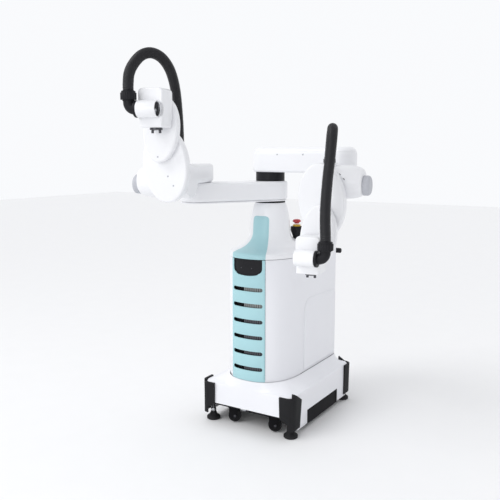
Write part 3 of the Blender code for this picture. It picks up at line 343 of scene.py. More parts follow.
def bevelled(obj, width, segments=3, angle=40.0):
    mod = obj.modifiers.new("edges", "BEVEL")
    mod.width, mod.segments = width, segments
    mod.limit_method, mod.angle_limit = "ANGLE", radians(angle)
    return obj


def solid(bm, bevel=0.0, segments=3, angle=40.0):
    """A temporary object of a mesh, outward facing, with rounded edges if asked."""
    bmesh.ops.recalc_face_normals(bm, faces=bm.faces)
    mesh = bpy.data.meshes.new("shape")
    bm.to_mesh(mesh)
    bm.free()
    obj = bpy.data.objects.new("shape", mesh)
    bpy.context.scene.collection.objects.link(obj)
    return bevelled(obj, bevel, segments, angle) if bevel > 0 else obj


def combined(obj, others, operation="UNION"):
    for other in others:
        mod = obj.modifiers.new(operation, "BOOLEAN")
        mod.operation, mod.solver, mod.object = operation, "EXACT", other
    return obj


def baked(obj, used=()):
    """The object's final mesh; the temporary objects are removed."""
    bpy.context.view_layer.update()
    mesh = bpy.data.meshes.new_from_object(obj.evaluated_get(bpy.context.evaluated_depsgraph_get()))
    for temporary in (obj, *used):
        bpy.data.objects.remove(temporary)
    return mesh


def cut(obj, others):
    """The final mesh of an object less the others."""
    return baked(combined(obj, others, "DIFFERENCE"), others)


def piece(name, mesh, mat, body, nodes=(), place=None, sharp=35.0):
    """A finished piece that rides on a body and may stand for CAD nodes."""
    if isinstance(mesh, bmesh.types.BMesh):
        mesh = solid(mesh)
    if isinstance(mesh, bpy.types.Object):
        mesh = baked(mesh)
    if place is not None:
        mesh.transform(place)
        if place.determinant() < 0:
            mesh.flip_normals()
    mesh.name = name
    mesh.materials.clear()
    mesh.materials.append(mat)
    mesh.shade_smooth()
    mesh.set_sharp_from_angle(angle=radians(sharp))
    obj = bpy.data.objects.new(name, mesh)
    bpy.context.scene.collection.objects.link(obj)
    if body is not None:
        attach(obj, body)
    if nodes:
        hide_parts(*nodes)
    return obj


def paint_node(name, mat):
    obj = frame["nodes"][name]
    obj.data.materials.clear()
    obj.data.materials.append(mat)


def screw(name, place, radius, body, along, mat=STEEL, high=0.0015):
    """A cap screw with a hexagon socket, whose head stands on the surface at place, facing along."""
    head = solid(turned(rounded(radius, -0.0010, high, 0.0004, steps=2), steps=24))
    socket = solid(prism(arc(0, 0, radius * 0.5, 0, 2 * pi * 5 / 6, 5), high * 0.3, high + 0.002))
    spin = Vector((0, 0, 1)).rotation_difference(Vector(along)).to_matrix().to_4x4()
    return piece(name, cut(head, [socket]), mat, body, place=Matrix.Translation(place) @ spin)


# ---------------------------------------------------------------- camera, studio and light
def build_camera():
    data = bpy.data.cameras.new("camera")
    data.lens, data.sensor_width = LENS, SENSOR
    camera = bpy.data.objects.new("camera", data)
    bpy.context.scene.collection.objects.link(camera)
    camera.location = CAMERA_PLACE
    camera.rotation_euler = (radians(90 - CAMERA_PITCH), 0, radians(CAMERA_TURN))
    bpy.context.scene.camera = camera


def build_studio():
    """A pale floor, a sky that is brighter behind the object, a soft sun and two soft lamps."""
    floor_mat = surface("floor_paper", (0.88, 0.88, 0.885), (0.86, 0.86, 0.865), (0.75, 0.85), 60, 0.02)
    bm = bmesh.new()
    bm.faces.new([bm.verts.new((x, y, 0)) for x, y in rectangle(-FLOOR_HALF, FLOOR_HALF, -FLOOR_HALF, FLOOR_HALF)])
    mesh = bpy.data.meshes.new("floor")
    bm.to_mesh(mesh)
    bm.free()
    mesh.materials.append(floor_mat)
    floor = bpy.data.objects.new("floor", mesh)
    bpy.context.scene.collection.objects.link(floor)
    floor.location.z = -FLOOR_DOWN
    world = bpy.data.worlds.new("studio")
    world.use_nodes = True
    tree = world.node_tree
    place = new_node(tree, "TexCoord").outputs["Generated"]
    toward = tree.nodes.new("ShaderNodeVectorMath")
    toward.operation = "DOT_PRODUCT"
    toward.inputs[1].default_value = SKY_BRIGHT_SIDE
    tree.links.new(place, toward.inputs[0])
    side = new_node(tree, "MapRange", Value=toward.outputs["Value"], From_Min=SKY_SPAN[0], From_Max=SKY_SPAN[1],
                    To_Min=SKY_NEAR, To_Max=SKY_FAR)
    tree.links.new(side.outputs["Result"], tree.nodes["Background"].inputs["Strength"])
    tree.nodes["Background"].inputs["Color"].default_value = SKY_COLOUR
    bpy.context.scene.world = world
    bpy.context.scene.view_settings.view_transform = "Standard"
    sun = bpy.data.lights.new("sun", "SUN")
    sun.energy, sun.angle = SUN_POWER, SUN_SOFT
    lamp = bpy.data.objects.new("sun", sun)
    bpy.context.scene.collection.objects.link(lamp)
    lamp.rotation_euler = SUN_TURN
    for name, spot, size, power in LIGHTS:
        data = bpy.data.lights.new(name, "AREA")
        data.size, data.energy = size, power
        light = bpy.data.objects.new(name, data)
        bpy.context.scene.collection.objects.link(light)
        light.location = spot
        light.rotation_euler = (LIGHT_AIM - Vector(spot)).to_track_quat("-Z", "Y").to_euler()


# ---------------------------------------------------------------- cart and cabinet outlines
def middle(node):
    low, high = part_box(node)
    return (low + high) / 2


AXIS = middle("column")
MIDDLE_X = AXIS.x
CAB_LOW, CAB_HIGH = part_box("cabinet_shell")
CAB_HALF = (CAB_HIGH.x - CAB_LOW.x) / 2
NOSE_Y = CAB_HIGH.y - NOSE_LENGTH
PANEL_LOW, PANEL_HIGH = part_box("front_panel")
PANEL_HALF = (PANEL_HIGH.x - PANEL_LOW.x) / 2
FRONT = PANEL_LOW.y + PANEL_GROW
CART_LOW, CART_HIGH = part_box("base_shroud")
CART_HALF = (CART_HIGH.x - CART_LOW.x) / 2


def nose_y(x, grow=0.0):
    """The cabinet's convex front at x, measured from the middle of the cabinet, grown outward."""
    share = (abs(x) / (CAB_HALF + grow)) ** NOSE_POWER
    return NOSE_Y - (NOSE_Y - FRONT + grow) * (1 - min(share, 1.0)) ** (1 / NOSE_POWER)


def nose_line(x0, x1, count, grow=0.0):
    """Points along the convex front from x0 to x1."""
    reach = CAB_HALF + grow
    start, end = (max(-1.0, min(1.0, x / reach)) for x in (x0, x1))
    xs = [reach * (start + (end - start) * i / count) for i in range(count + 1)]
    return [(MIDDLE_X + x, nose_y(x, grow)) for x in xs]


def corner_line(side, end_x, grow, count):
    """Points from the cabinet's widest place round to end_x, closer together where it turns."""
    reach = CAB_HALF + grow
    last = pi / 2 * (1 - end_x / reach)
    xs = [reach * cos(last * i / count) for i in range(count)] + [end_x]
    return [(MIDDLE_X + side * x, nose_y(x, grow)) for x in xs]


def cabinet_parts(grow=0.0, end_x=0.0005, nose=28):
    """The cabinet's outline, anticlockwise from its rear right corner: the rear, the left front, the right front."""
    r, rear, half = CAB_CORNER + grow, CAB_HIGH.y + grow, CAB_HALF + grow
    right = arc(MIDDLE_X + half - r, rear - r, r, 0, pi / 2, 12)
    left = arc(MIDDLE_X - half + r, rear - r, r, pi / 2, pi, 12)
    return right + left, corner_line(-1, end_x, grow, nose), corner_line(1, end_x, grow, nose)[::-1]


def cabinet_ring(grow=0.0):
    rear, left, right = cabinet_parts(grow)
    return rear + left + right


def around(outline, count):
    """Count points on a closed outline at even angles round the neck's axis, and their distances."""
    polar = []
    for x, y in outline:
        dx, dy = x - AXIS.x, y - AXIS.y
        polar.append((atan2(dx, -dy) % (2 * pi), hypot(dx, dy)))
    polar.sort()
    polar = [(polar[-1][0] - 2 * pi, polar[-1][1])] + polar + [(polar[0][0] + 2 * pi, polar[0][1])]
    out, k = [], 0
    for i in range(count):
        angle = 2 * pi * i / count
        while polar[k + 1][0] < angle:
            k += 1
        (a0, r0), (a1, r1) = polar[k], polar[k + 1]
        p, q = Vector((sin(a0) * r0, -cos(a0) * r0)), Vector((sin(a1) * r1, -cos(a1) * r1))
        ray, run = Vector((sin(angle), -cos(angle))), q - p
        bottom = ray.x * run.y - ray.y * run.x
        reach = (p.x * run.y - p.y * run.x) / bottom if abs(bottom) > 1e-12 else r0
        out.append((angle, reach))
    return out


def about_axis(angle, r, z):
    return (AXIS.x + sin(angle) * r, AXIS.y - cos(angle) * r, z)


def curve_at(a, b, c, d, t):
    """The smooth curve through b and c, with neighbours a and d, a share t of the way along."""
    return 0.5 * (2 * b + (c - a) * t + (2 * a - 5 * b + 4 * c - d) * t * t + (3 * b - a - 3 * c + d) * t ** 3)


def smoothed(rows, parts):
    """Rows of numbers with parts steps between each two, on a smooth curve that keeps its extremes."""
    out = []
    for i in range(len(rows) - 1):
        near = rows[max(i - 1, 0)], rows[i], rows[i + 1], rows[min(i + 2, len(rows) - 1)]
        for k in range(parts):
            out.append(tuple(min(max(curve_at(a, b, c, d, k / parts), min(b, c)), max(b, c))
                             for a, b, c, d in zip(*near)))
    return out + [rows[-1]]


def neck_point(angle, reach, row, raised=0.0):
    share, radius, z = row
    return about_axis(angle, radius + share * (reach - radius) + raised, z)


# ---------------------------------------------------------------- cart
def build_shroud():
    """The white skirt and its shoulder, which sweeps up to the cabinet on all sides, and four corner legs."""
    low, high = CART_LOW, CART_HIGH
    skirt, sweep = low.z + SKIRT_HIGH, high.z - SHOULDER_Z - SWEEP_RISE
    count = 220
    head = around(cabinet_ring(PANEL_GROW), count)
    left, right, r = MIDDLE_X - CART_HALF, MIDDLE_X + CART_HALF, CART_CORNER

    def cart_line(shrink):
        corners = ((right - r, high.y - r), (left + r, high.y - r), (left + r, low.y + r), (right - r, low.y + r))
        ring = []
        for i, (x, y) in enumerate(corners):
            ring += arc(x, y, r - shrink, i * pi / 2, (i + 1) * pi / 2, 14)
        return around(ring, count)

    def ring(outline, share, z):
        return [about_axis(angle, reach + (inner - reach) * share, z)
                for (angle, reach), (_, inner) in zip(outline, head)]

    slope = [(0.0, skirt)] + [(share, SHOULDER_Z + rise) for share, rise in SHOULDER_EDGE]
    for i in range(SWEEP_STEPS + 1):
        part = i / SWEEP_STEPS
        slope.append((SWEEP_START + (1 - SWEEP_START) * part, SHOULDER_Z + SWEEP_RISE + sweep * part ** SWEEP_POWER))
    outside, inside = cart_line(0.0), cart_line(SHROUD_WALL)
    rings = [ring(outside, share, z) for share, z in slope]
    rings += [ring(inside, share, max(z - SHROUD_WALL, skirt)) for share, z in slope[::-1]]
    shroud = solid(loft(rings, joined=True))
    legs = []
    for side in (-1, 1):
        for start, end in ([low.y + y for y in LEG_FRONT], [high.y + y for y in LEG_REAR]):
            x0, x1 = sorted((MIDDLE_X + side * (CART_HALF - SHROUD_WALL), MIDDLE_X + side * CART_HALF))
            legs.append(solid(prism(rectangle(x0, x1, start, end), low.z, skirt + 0.004), 0.0015, 2))
    piece("shroud_skin", baked(combined(shroud, legs), legs), PAINT, "cart", ["base_shroud"])


def build_bumper(name, x_side, y_side):
    """A corner guard with a wing each way round the cart, its lower edge cut away beside the caster."""
    low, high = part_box(name)
    half, edge = CART_HALF + GAP, (CART_HIGH.y if y_side > 0 else -CART_LOW.y) + GAP
    outer, outer_edge = half + GUARD_WALL, edge + GUARD_WALL
    r = CART_CORNER + GUARD_WALL
    ends, inner = outer_edge - (high.y - low.y), y_side * (edge - GUARD_HORN)
    outline = (
        [(GUARD_WING, outer_edge)] + arc(outer - r, outer_edge - r, r, pi / 2, 0, 14) + [(outer, ends), (half, ends)]
        + arc(half - CART_CORNER, edge - CART_CORNER, CART_CORNER, 0, pi / 2, 14) + [(GUARD_WING, edge)])
    guard = solid(prism([(MIDDLE_X + x * x_side, y * y_side) for x, y in outline], low.z, high.z))

    def across(line, start, end):
        """A cutter with this outline in x, on the guard's own side, and z."""
        return solid(prism([(MIDDLE_X + x * x_side, z) for x, z in line], start, end, "Y"))

    (near, near_z), (far, far_z) = GUARD_NOTCH
    notch = [(near, -0.1), (near, near_z), (far, far_z), (far, -0.1)]
    cuts = [across(notch, *sorted((y_side * (edge - NOTCH_DEEP), y_side * BEYOND)))]
    if y_side < 0:
        cuts.append(solid(prism(rectangle(-BEYOND, BEYOND, -BEYOND, inner), GUARD_TOP, BEYOND)))
        if x_side > 0:
            fall = (high.z - GUARD_SLOPE_LOW) / (edge - GUARD_HORN - ends)
            past = 0.05
            slope = [(past - ends, GUARD_SLOPE_LOW - fall * past), (inner, high.z),
                     (inner, BEYOND), (past - ends, BEYOND)]
            cuts.append(solid(prism(slope, 0.02, BEYOND, "X")))
    else:
        rise = REAR_RISE + ((outer - r, GUARD_TOP), (BEYOND, GUARD_TOP), (BEYOND, BEYOND))
        cuts.append(across(((REAR_RISE[0][0], BEYOND),) + rise, 0, BEYOND))
    combined(guard, cuts, "DIFFERENCE")
    mesh = baked(bevelled(guard, GUARD_EDGE), cuts)
    for vertex in mesh.vertices:
        lean = min(GUARD_LEAN, (high.z - vertex.co.z) * LEAN_RATE)
        for axis, face, centre in ((0, half, MIDDLE_X), (1, edge, 0.0)):
            out = abs(vertex.co[axis] - centre) - face
            if out > 0:
                sign = 1 if vertex.co[axis] > centre else -1
                vertex.co[axis] -= sign * lean * min(1.0, out / GUARD_WALL)
    piece(f"{name}_guard", mesh, RUBBER, "cart", [name])


def build_foot(name):
    """A rubber levelling pad on a threaded steel stud with a lock nut, under a short black tube."""
    low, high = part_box(name)
    x, y = (low.x + high.x) / 2, (low.y + high.y) / 2
    r = (high.x - low.x) / 2
    pad = [(0, 0), (r - 0.002, 0), (r, 0.002), (r, 0.010), (r - 0.0015, 0.0125), (0.021, 0.020), (0.0145, 0.031),
           (0.0135, 0.036), (0, 0.036)]
    piece(f"{name}_pad", turned(pad, (x, y, 0)), RUBBER, "cart", [name])
    socket_low = high.z - SOCKET_HIGH
    thread, z = [(0, 0.034), (STUD_R, 0.034)], 0.0345
    while z < socket_low - 0.002:
        thread += [(THREAD_R, z + THREAD_PITCH * 0.35), (THREAD_ROOT, z + THREAD_PITCH)]
        z += THREAD_PITCH
    thread += [(STUD_R, socket_low), (0, socket_low)]
    piece(f"{name}_stud", turned(thread, (x, y, 0), steps=28), STEEL, "cart")
    hexagon = [(x + px, y + py) for px, py in arc(0, 0, LOCK_NUT_R, 0.3, 0.3 + 2 * pi * 5 / 6, 5)]
    piece(f"{name}_lock_nut", solid(prism(hexagon, *LOCK_NUT_Z), 0.0012, 2), STEEL, "cart")
    piece(f"{name}_socket", rod(SOCKET_R, socket_low, high.z, 0.001, (x, y, 0)), BLACK_STEEL, "cart")


def build_caster(name):
    """A wheel with a rounded tread, recessed hubs and an axle bolt, in its black fork."""
    node = f"{name}_wheel"
    joint = next(j for j in frame["joints"] if j["name"] == f"{name}_roll")
    low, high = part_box(node)
    wide, r = WHEEL_HALF, (high.z - low.z) / 2
    profile = [(0, -wide + 0.003), (0.009, -wide + 0.003), (0.010, -wide + 0.001), (0.013, -wide),
               (0.014, -wide + 0.002), (r - 0.010, -wide + 0.002), (r - 0.009, -wide), (r - 0.004, -wide + 0.0005),
               (r - 0.001, -wide + 0.003), (r, -wide + 0.007)]
    profile += [(radius, -h) for radius, h in profile[::-1]]
    spin = Vector((0, 0, 1)).rotation_difference(Vector(joint["axis"])).to_matrix().to_4x4()
    where = Matrix.Translation(Vector(joint["pos_m"])) @ spin
    piece(f"{name}_tyre", turned(profile), RUBBER, node, [node], where)
    for side, end in ((-1, "a"), (1, "b")):
        start, stop = (side * (wide + reach) for reach in AXLE_HEAD)
        head = turned(rounded(AXLE_HEAD_R, start, stop, 0.0008 * side, steps=2), steps=20)
        piece(f"{name}_axle_bolt_{end}", head, DARK_STEEL, f"{name}_fork", place=where)
    paint_node(f"{name}_fork", BLACK_STEEL)


def build_sill():
    """The black edge that shows under the cart's front, with a steel catch in its gap."""
    y = CART_LOW.y + SILL_BACK
    for name, (x0, x1), mat in (("left", (-SILL_HALF, SILL_GAP[0]), BLACK_STEEL),
                                ("right", (SILL_GAP[1], SILL_HALF), BLACK_STEEL), ("catch", CATCH, STEEL)):
        bar = prism(rectangle(MIDDLE_X + x0, MIDDLE_X + x1, y, y + SILL_DEEP), SILL_LOW, CART_SKIRT - GAP)
        piece(f"front_sill_{name}", solid(bar, 0.0008, 2), mat, "cart")


# ---------------------------------------------------------------- cabinet
def strip_solid(line, inward, low, high):
    """A wall of even thickness along an open line in plan, from low to high."""
    back = []
    for i, (x, y) in enumerate(line):
        (ax, ay), (bx, by) = line[max(i - 1, 0)], line[min(i + 1, len(line) - 1)]
        run = Vector((bx - ax, by - ay)).normalized()
        back.append((x - run.y * inward, y + run.x * inward))
    return prism(line + back[::-1], low, high)


def build_cabinet():
    """The wrapped wall, which stops at the front panel, and a white ring behind the seam over the cart."""
    rear, left, right = cabinet_parts(end_x=PANEL_HALF + GAP / 3, nose=22)
    wall = strip_solid(right + rear + left, CAB_WALL, CAB_LOW.z, CAB_HIGH.z)
    piece("cabinet_wall", solid(wall, 0.0008, 2, 50), PAINT, "cart", ["cabinet_shell"])
    plinth = strip_solid(cabinet_ring(-PLINTH_IN), PLINTH_WALL, *(CAB_LOW.z + z for z in PLINTH_Z))
    piece("cabinet_plinth", plinth, PAINT, "cart")


def through_front(outline):
    return solid(prism(outline, FRONT - 0.05, FRONT + 0.06, "Y"))


def build_front_panel():
    """The teal panel with its slots and pocket, a black sheet behind the slots that paints the shade inside the
    cabinet, and the dark ribs behind the slots.
    """
    heights = [SLOT_TOP - i * SLOT_PITCH for i in range(SLOTS)]
    face = nose_line(-PANEL_HALF, PANEL_HALF, 48, PANEL_GROW)
    panel = solid(strip_solid(face, PANEL_WALL, PANEL_LOW.z, PANEL_HIGH.z))
    r = SLOT_HIGH / 2
    ends = MIDDLE_X - SLOT_HALF + r, MIDDLE_X + SLOT_HALF - r
    cuts = [through_front(stadium(*ends, z, r, 10)) for z in heights] + [through_front(pocket_line(0.0))]
    combined(panel, cuts, "DIFFERENCE")
    piece("front_panel_skin", baked(bevelled(panel, 0.0009, 2, 60), cuts), TEAL, "cart", ["front_panel"])

    plate = solid(strip_solid(nose_line(-PANEL_HALF, PANEL_HALF, 48, -POCKET_DEEP), 0.0025, POCKET_LOW - 0.01,
                              PANEL_HIGH.z))
    outline = through_front(pocket_line(-0.0006))
    combined(plate, [outline], "INTERSECT")
    piece("pocket_plate", baked(plate, [outline]), BLACK, "cart", ["pocket_panel"])
    for name, x in POCKET_SCREWS.items():
        place = (MIDDLE_X + x, nose_y(x, -POCKET_DEEP) + 0.0002, POCKET_LOW + POCKET_SCREW_UP)
        screw(f"pocket_screw_{name}", place, POCKET_SCREW_R, "cart", (0, -1, 0), DARK_STEEL)

    # painted shade: a black sheet behind the slots makes them as dark as the shade inside the cabinet
    half = PANEL_HALF - SHADE_SHEET_IN
    liner = strip_solid(nose_line(-half, half, 40, -SHADE_SHEET_DEEP), SHADE_SHEET_WALL, *SHADE_SHEET_Z)
    piece("vent_shade_sheet", liner, BLACK_STEEL, "cart")
    for i, z in enumerate(heights):
        for k in range(VENT_RIBS):
            x0 = VENT_RIB_START + k * VENT_RIB_PITCH
            line = nose_line(x0, x0 + VENT_RIB_PITCH * 0.8, 3, -VENT_RIB_DEEP)
            rib = solid(strip_solid(line, VENT_RIB_WALL, z - SLOT_HIGH * 0.75, z + SLOT_HIGH * 0.75), 0.0004, 1)
            piece(f"vent_rib_{i}_{k}", rib, ZINC if i < 2 else DARK_STEEL, "cart")


def pocket_line(grow):
    """The pocket's outline: straight sides, round lower corners and a gently bowed lower edge."""
    x, z, r = POCKET_HALF + grow, POCKET_LOW - grow, POCKET_CORNER
    top = PANEL_HIGH.z + 0.02
    right = arc(x - r, z + POCKET_SAG + r, r, 0, -pi / 2 + 0.30, 9)
    left = [(-px, pz) for px, pz in right[::-1]]
    end_x, end_z = right[-1]
    bow = [(end_x * cos(pi * i / 12), end_z - (end_z - z) * sin(pi * i / 12)) for i in range(1, 12)]
    return [(MIDDLE_X + px, pz) for px, pz in [(x, top)] + right + bow + left + [(-x, top)]]


def build_side_cover(name, side):
    """A raised panel with one arched corner and a wide slanted edge."""
    low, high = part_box(name)
    face, deep = (high.x, low.x) if side > 0 else (low.x, high.x)
    rings = []
    for inset, share in ((0.0, 0.0), (0.0, 0.12), (0.0015, 0.25), (SIDE_BEVEL - 0.002, 0.93), (SIDE_BEVEL + 0.001, 1)):
        y0, y1, z0, z1 = low.y + inset, high.y - inset * 0.25, low.z + inset * 0.25, high.z - inset
        r = SIDE_CORNER - inset * 0.5
        line = [(y0, z0), (y1, z0), (y1, z1 - 0.004)] + arc(y0 + r, z1 - r, r, pi / 2, pi, 16)
        rings.append([(deep + (face - deep) * share, y, z) for y, z in line])
    piece(f"{name}_panel", loft(rings), PAINT, "cart", [name], sharp=28)


def build_rear():
    """The rear door with its vents and four screws."""
    low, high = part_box("rear_door")
    door = solid(prism(rectangle(low.x, high.x, low.z, high.z), low.y, high.y, "Y"), 0.0025, 3)
    cuts = []
    for i in range(REAR_VENTS):
        z = high.z - REAR_VENT_TOP - i * REAR_VENT_PITCH
        slot = stadium(MIDDLE_X - REAR_VENT_HALF, MIDDLE_X + REAR_VENT_HALF, z, REAR_VENT_R, 6)
        cuts.append(solid(prism(slot, high.y - 0.003, high.y + 0.01, "Y")))
    piece("rear_door_panel", cut(door, cuts), PAINT, "cart", ["rear_door"])
    for i, z in enumerate((low.z + DOOR_SCREW_Z, high.z - DOOR_SCREW_Z)):
        for j, x in enumerate((low.x + DOOR_SCREW_X, high.x - DOOR_SCREW_X)):
            screw(f"rear_door_screw_{i}_{j}", (x, high.y, z), DOOR_SCREW_R, "cart", (0, 1, 0), high=0.0020)


def build_handle():
    """A black round grip on two posts, with rounded ends and a flange where each post meets the cabinet."""
    low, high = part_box("push_handle")
    r = (high.z - low.z) / 2
    y, z = high.y - r, (high.z + low.z) / 2
    bar = rod(r, low.x, high.x, HANDLE_EDGE, (0, y, z), "X")
    profile = [(0, low.y), (0.0125, low.y), (0.0125, low.y + 0.003), (0.0085, low.y + 0.006), (0.0080, y), (0, y)]
    posts = [solid(turned(profile, (MIDDLE_X + side * HANDLE_POST_X, 0, z), "Y", 32)) for side in (-1, 1)]
    piece("push_handle_bar", baked(combined(bar, posts), posts), BLACK, "cart", ["push_handle"])


# ---------------------------------------------------------------- neck
def build_neck():
    """The white cover that sweeps from the cabinet's outline up to the round neck, and its teal inset."""
    outline = around(cabinet_ring(), 200)
    rows = smoothed(NECK_PROFILE, 5)
    share, radius, top = rows[-1]
    rows.append((share, radius - 0.001, top))
    rings = [[neck_point(angle, reach, row) for angle, reach in outline] for row in rows]
    rings += [[about_axis(angle, NECK_BORE, z) for angle, _ in outline] for z in (top, NECK_PROFILE[0][2])]
    piece("neck_skin", loft(rings, joined=True), CASTING, "cart", ["neck_cover"], sharp=50)

    grid = []
    for i in range(61):
        up = i / 60
        z = INSET_FOOT + (INSET_TOP - INSET_FOOT) * up
        k = max(i for i in range(len(rows) - 1) if rows[i][2] <= z + 1e-9)
        (s0, r0, z0), (s1, r1, z1) = rows[k], rows[k + 1]
        part = (z - z0) / max(z1 - z0, 1e-9)
        half = INSET_FOOT_HALF + (INSET_TOP_HALF - INSET_FOOT_HALF) * up
        over = z - (INSET_TOP - INSET_CORNER)
        if over > 0:
            half -= (INSET_CORNER - sqrt(max(INSET_CORNER ** 2 - over ** 2, 0))) / r0
        grid.append((half, (s0 + (s1 - s0) * part, r0 + (r1 - r0) * part, z)))
    dense = around(cabinet_ring(), 1440)
    shares = [j / 22 * 2 - 1 for j in range(23)]

    def inset_point(angle, row, raised):
        return neck_point(angle, dense[round(angle / (2 * pi) * 1440) % 1440][1], row, raised)

    rings = []
    for i, (half, row) in enumerate(grid):
        high = INSET_HIGH * min(1.0, (len(grid) - 1 - i) / 6) ** 0.4
        front = [inset_point(half * s, row, INSET_OUT + high * (1 - abs(s) ** 6)) for s in shares]
        back = [inset_point(half * s, row, INSET_IN) for s in shares]
        rings.append(front + back[::-1])
    piece("neck_inset", loft(rings), TEAL, "cart", ["neck_panel"], sharp=50)


def build_rings():
    """The black seam ring under the lower link and the collar between the links."""
    for node in ("seam_ring", "shoulder_collar"):
        low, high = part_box(node)
        r, edge = (high.x - low.x) / 2, 0.0012
        profile = [(RING_BORE, low.z), (r - edge, low.z), (r, low.z + edge), (r, high.z - edge), (r - edge, high.z),
                   (RING_BORE, high.z), (RING_BORE, low.z)]
        ring = turned(profile, (AXIS.x, AXIS.y, 0), steps=72)
        bmesh.ops.remove_doubles(ring, verts=ring.verts, dist=1e-6)
        piece(f"{node}_trim", ring, BLACK, "cart", [node])


def build_estop():
    """The emergency stop's yellow base ring and its red mushroom head."""
    low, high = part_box("estop_collar")
    x, y, z = (low.x + high.x) / 2, (low.y + high.y) / 2, low.z - GAP
    paint_node("estop_holder", BLACK)
    ring = [(0, z + GAP), (0.0180, z + GAP), (0.0187, z + 0.0012), (0.0187, z + 0.0070), (0.0172, z + 0.009),
            (0, z + 0.009)]
    piece("estop_base_ring", turned(ring, (x, y, 0)), YELLOW, "cart", ["estop_collar"])
    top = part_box("estop_button")[1].z
    head = [(0, z + 0.014), (0.0115, z + 0.014), (0.0120, z + 0.019), (0.0185, z + 0.0212), (0.0198, z + 0.0225),
            (0.0200, z + 0.0250), (0.0190, z + 0.0290), (0.0150, top - 0.0025), (0.0080, top - 0.0006), (0, top)]
    piece("estop_head", turned(head, (x, y, 0)), RED, "estop_button", ["estop_button"])


# ---------------------------------------------------------------- level links
def link_outline(r1, inset=0.0, count=28):
    """Round both joints of a first level link that lies along -Y, with straight tangent sides."""
    from_axis = (LINK1_R0 - r1) / LINK1
    near = arc(0, 0, LINK1_R0 - inset, -from_axis, pi + from_axis, count)
    far = arc(0, -LINK1, r1 - inset, pi + from_axis, 2 * pi - from_axis, count)
    return near + far


def link_place(root, tip):
    """From a link's own frame, whose -Y runs from root to tip, to the frame's."""
    ahead = Vector((tip.x - root.x, tip.y - root.y)).normalized()
    return Matrix(((-ahead.y, -ahead.x, 0, root.x), (ahead.x, -ahead.y, 0, root.y), (0, 0, 1, 0), (0, 0, 0, 1)))


def joint_at(name):
    return Vector(next(j for j in frame["joints"] if j["name"] == name)["pos_m"])


def crown_inset(z, top):
    """How far the upper link's rounded top has drawn in at a height."""
    rise = max(0.0, 1 - (top - z) / CROWN_HIGH)
    return CROWN_WIDE * (1 - sqrt(max(0.0, 1 - rise * rise)))


def stacked(r1, rows):
    """A link's casting through rows of (inset, height)."""
    return loft([[(x, y, z) for x, y in link_outline(r1, inset)] for inset, z in rows])


def build_lower_link1():
    """The lower arm's first link: a rounded housing on a flat base plate."""
    place = link_place(joint_at("lower_arm_turn"), joint_at("left_elbow_turn"))
    for part, name, inset, edge, rounds in (("housing", "housing_casting", 0.0, LINK1_EDGE, 6),
                                            ("cover", "plate", PLATE_INSET, 0.0015, 2)):
        low, high = (corner.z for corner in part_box(f"lower_link1_{part}"))
        shape = solid(prism(link_outline(LOWER_R1, inset), low, high), edge, rounds)
        mesh = cut(shape, [rod(LINK_BORE, low - 0.02, high + 0.02, 0.001)])
        piece(f"lower_link1_{name}", mesh, CASTING, "lower_link1", [f"lower_link1_{part}"], place)


def build_upper_link1():
    """The upper arm's first link: a rounded housing under a crowned lid, with two screws in its side."""
    place = link_place(joint_at("upper_arm_turn"), joint_at("right_elbow_turn"))
    low, high = (corner.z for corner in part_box("upper_link1_housing"))
    lid_low, lid_high = (corner.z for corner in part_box("upper_link1_cover"))
    foot = [(LINK1_EDGE * (1 - sin(pi / 2 * i / 6)), low + LINK1_EDGE * (1 - cos(pi / 2 * i / 6))) for i in range(7)]
    crown = [lid_high - CROWN_HIGH + CROWN_HIGH * sin(pi / 2 * i / 16) for i in range(17)]
    rows = [(crown_inset(z, lid_high), z) for z in crown]
    housing_rows = foot + [row for row in rows if row[1] < high] + [(crown_inset(high, lid_high), high)]
    mesh = cut(solid(stacked(UPPER_R1, housing_rows)), [rod(LINK_BORE, low - 0.02, low + 0.06, 0.001)])
    piece("upper_link1_housing_casting", mesh, CASTING, "upper_link1", ["upper_link1_housing"], place)
    lid_foot = (crown_inset(lid_low, lid_high) + LID_INSET, lid_low)
    lid = stacked(UPPER_R1, [lid_foot] + [row for row in rows if row[1] > lid_low + 0.001])
    piece("upper_link1_lid", lid, CASTING, "upper_link1", ["upper_link1_cover"], place)
    lean = (LINK1_R0 - UPPER_R1) / LINK1
    for i, s in enumerate(LINK1_SCREWS):
        spot = place @ Vector((lean * s - LINK1_R0, -s, high - LINK1_SCREW_DOWN))
        along = place.to_3x3() @ Vector((-1, -lean, 0))
        screw(f"upper_link1_screw_{i}", spot, LINK1_SCREW_R, "upper_link1", along, high=0.0010)


# ---------------------------------------------------------------- arms
class Arm:
    """One arm's own frame: t outward, s forward from the elbow axis, z up."""

    def __init__(self, prefix, side):
        self.prefix = prefix
        self.elbow, self.tool = joint_at(f"{prefix}_elbow_turn"), joint_at(f"{prefix}_tool_turn")
        self.ahead = Vector((self.tool.x - self.elbow.x, self.tool.y - self.elbow.y, 0)).normalized()
        self.out = Vector((-self.ahead.y, self.ahead.x, 0)) * side
        self.lift, self.follow = joint_at(f"{prefix}_lift"), joint_at(f"{prefix}_follower")
        self.wrist = joint_at(f"{prefix}_wrist_level")
        self.place = Matrix((
            (self.out.x, self.ahead.x, 0, self.elbow.x), (self.out.y, self.ahead.y, 0, self.elbow.y),
            (0, 0, 1, 0), (0, 0, 0, 1)))

    def at(self, s, t, z):
        return self.place @ Vector((t, s, z))

    def local(self, point):
        """t and z of a point in the frame."""
        return (Vector(point) - self.elbow).dot(self.out), point.z

    def name(self, part):
        return f"{self.prefix}_{part}"

    def piece(self, name, mesh, mat, body, node=None):
        """A piece made in this arm's frame, on one of its bodies."""
        piece(self.name(name), mesh, mat, self.name(body), [self.name(node)] if node else (), self.place)


def oval(start, end, half, long, count=96):
    """An oval round the middle of the line between two pivots, its long axis along it."""
    start, end = Vector(start), Vector(end)
    along = (end - start).normalized()
    across = Vector((-along.y, along.x))
    centre = (start + end) / 2
    return [tuple(centre + along * long * cos(2 * pi * i / count) + across * half * sin(2 * pi * i / count))
            for i in range(count)]


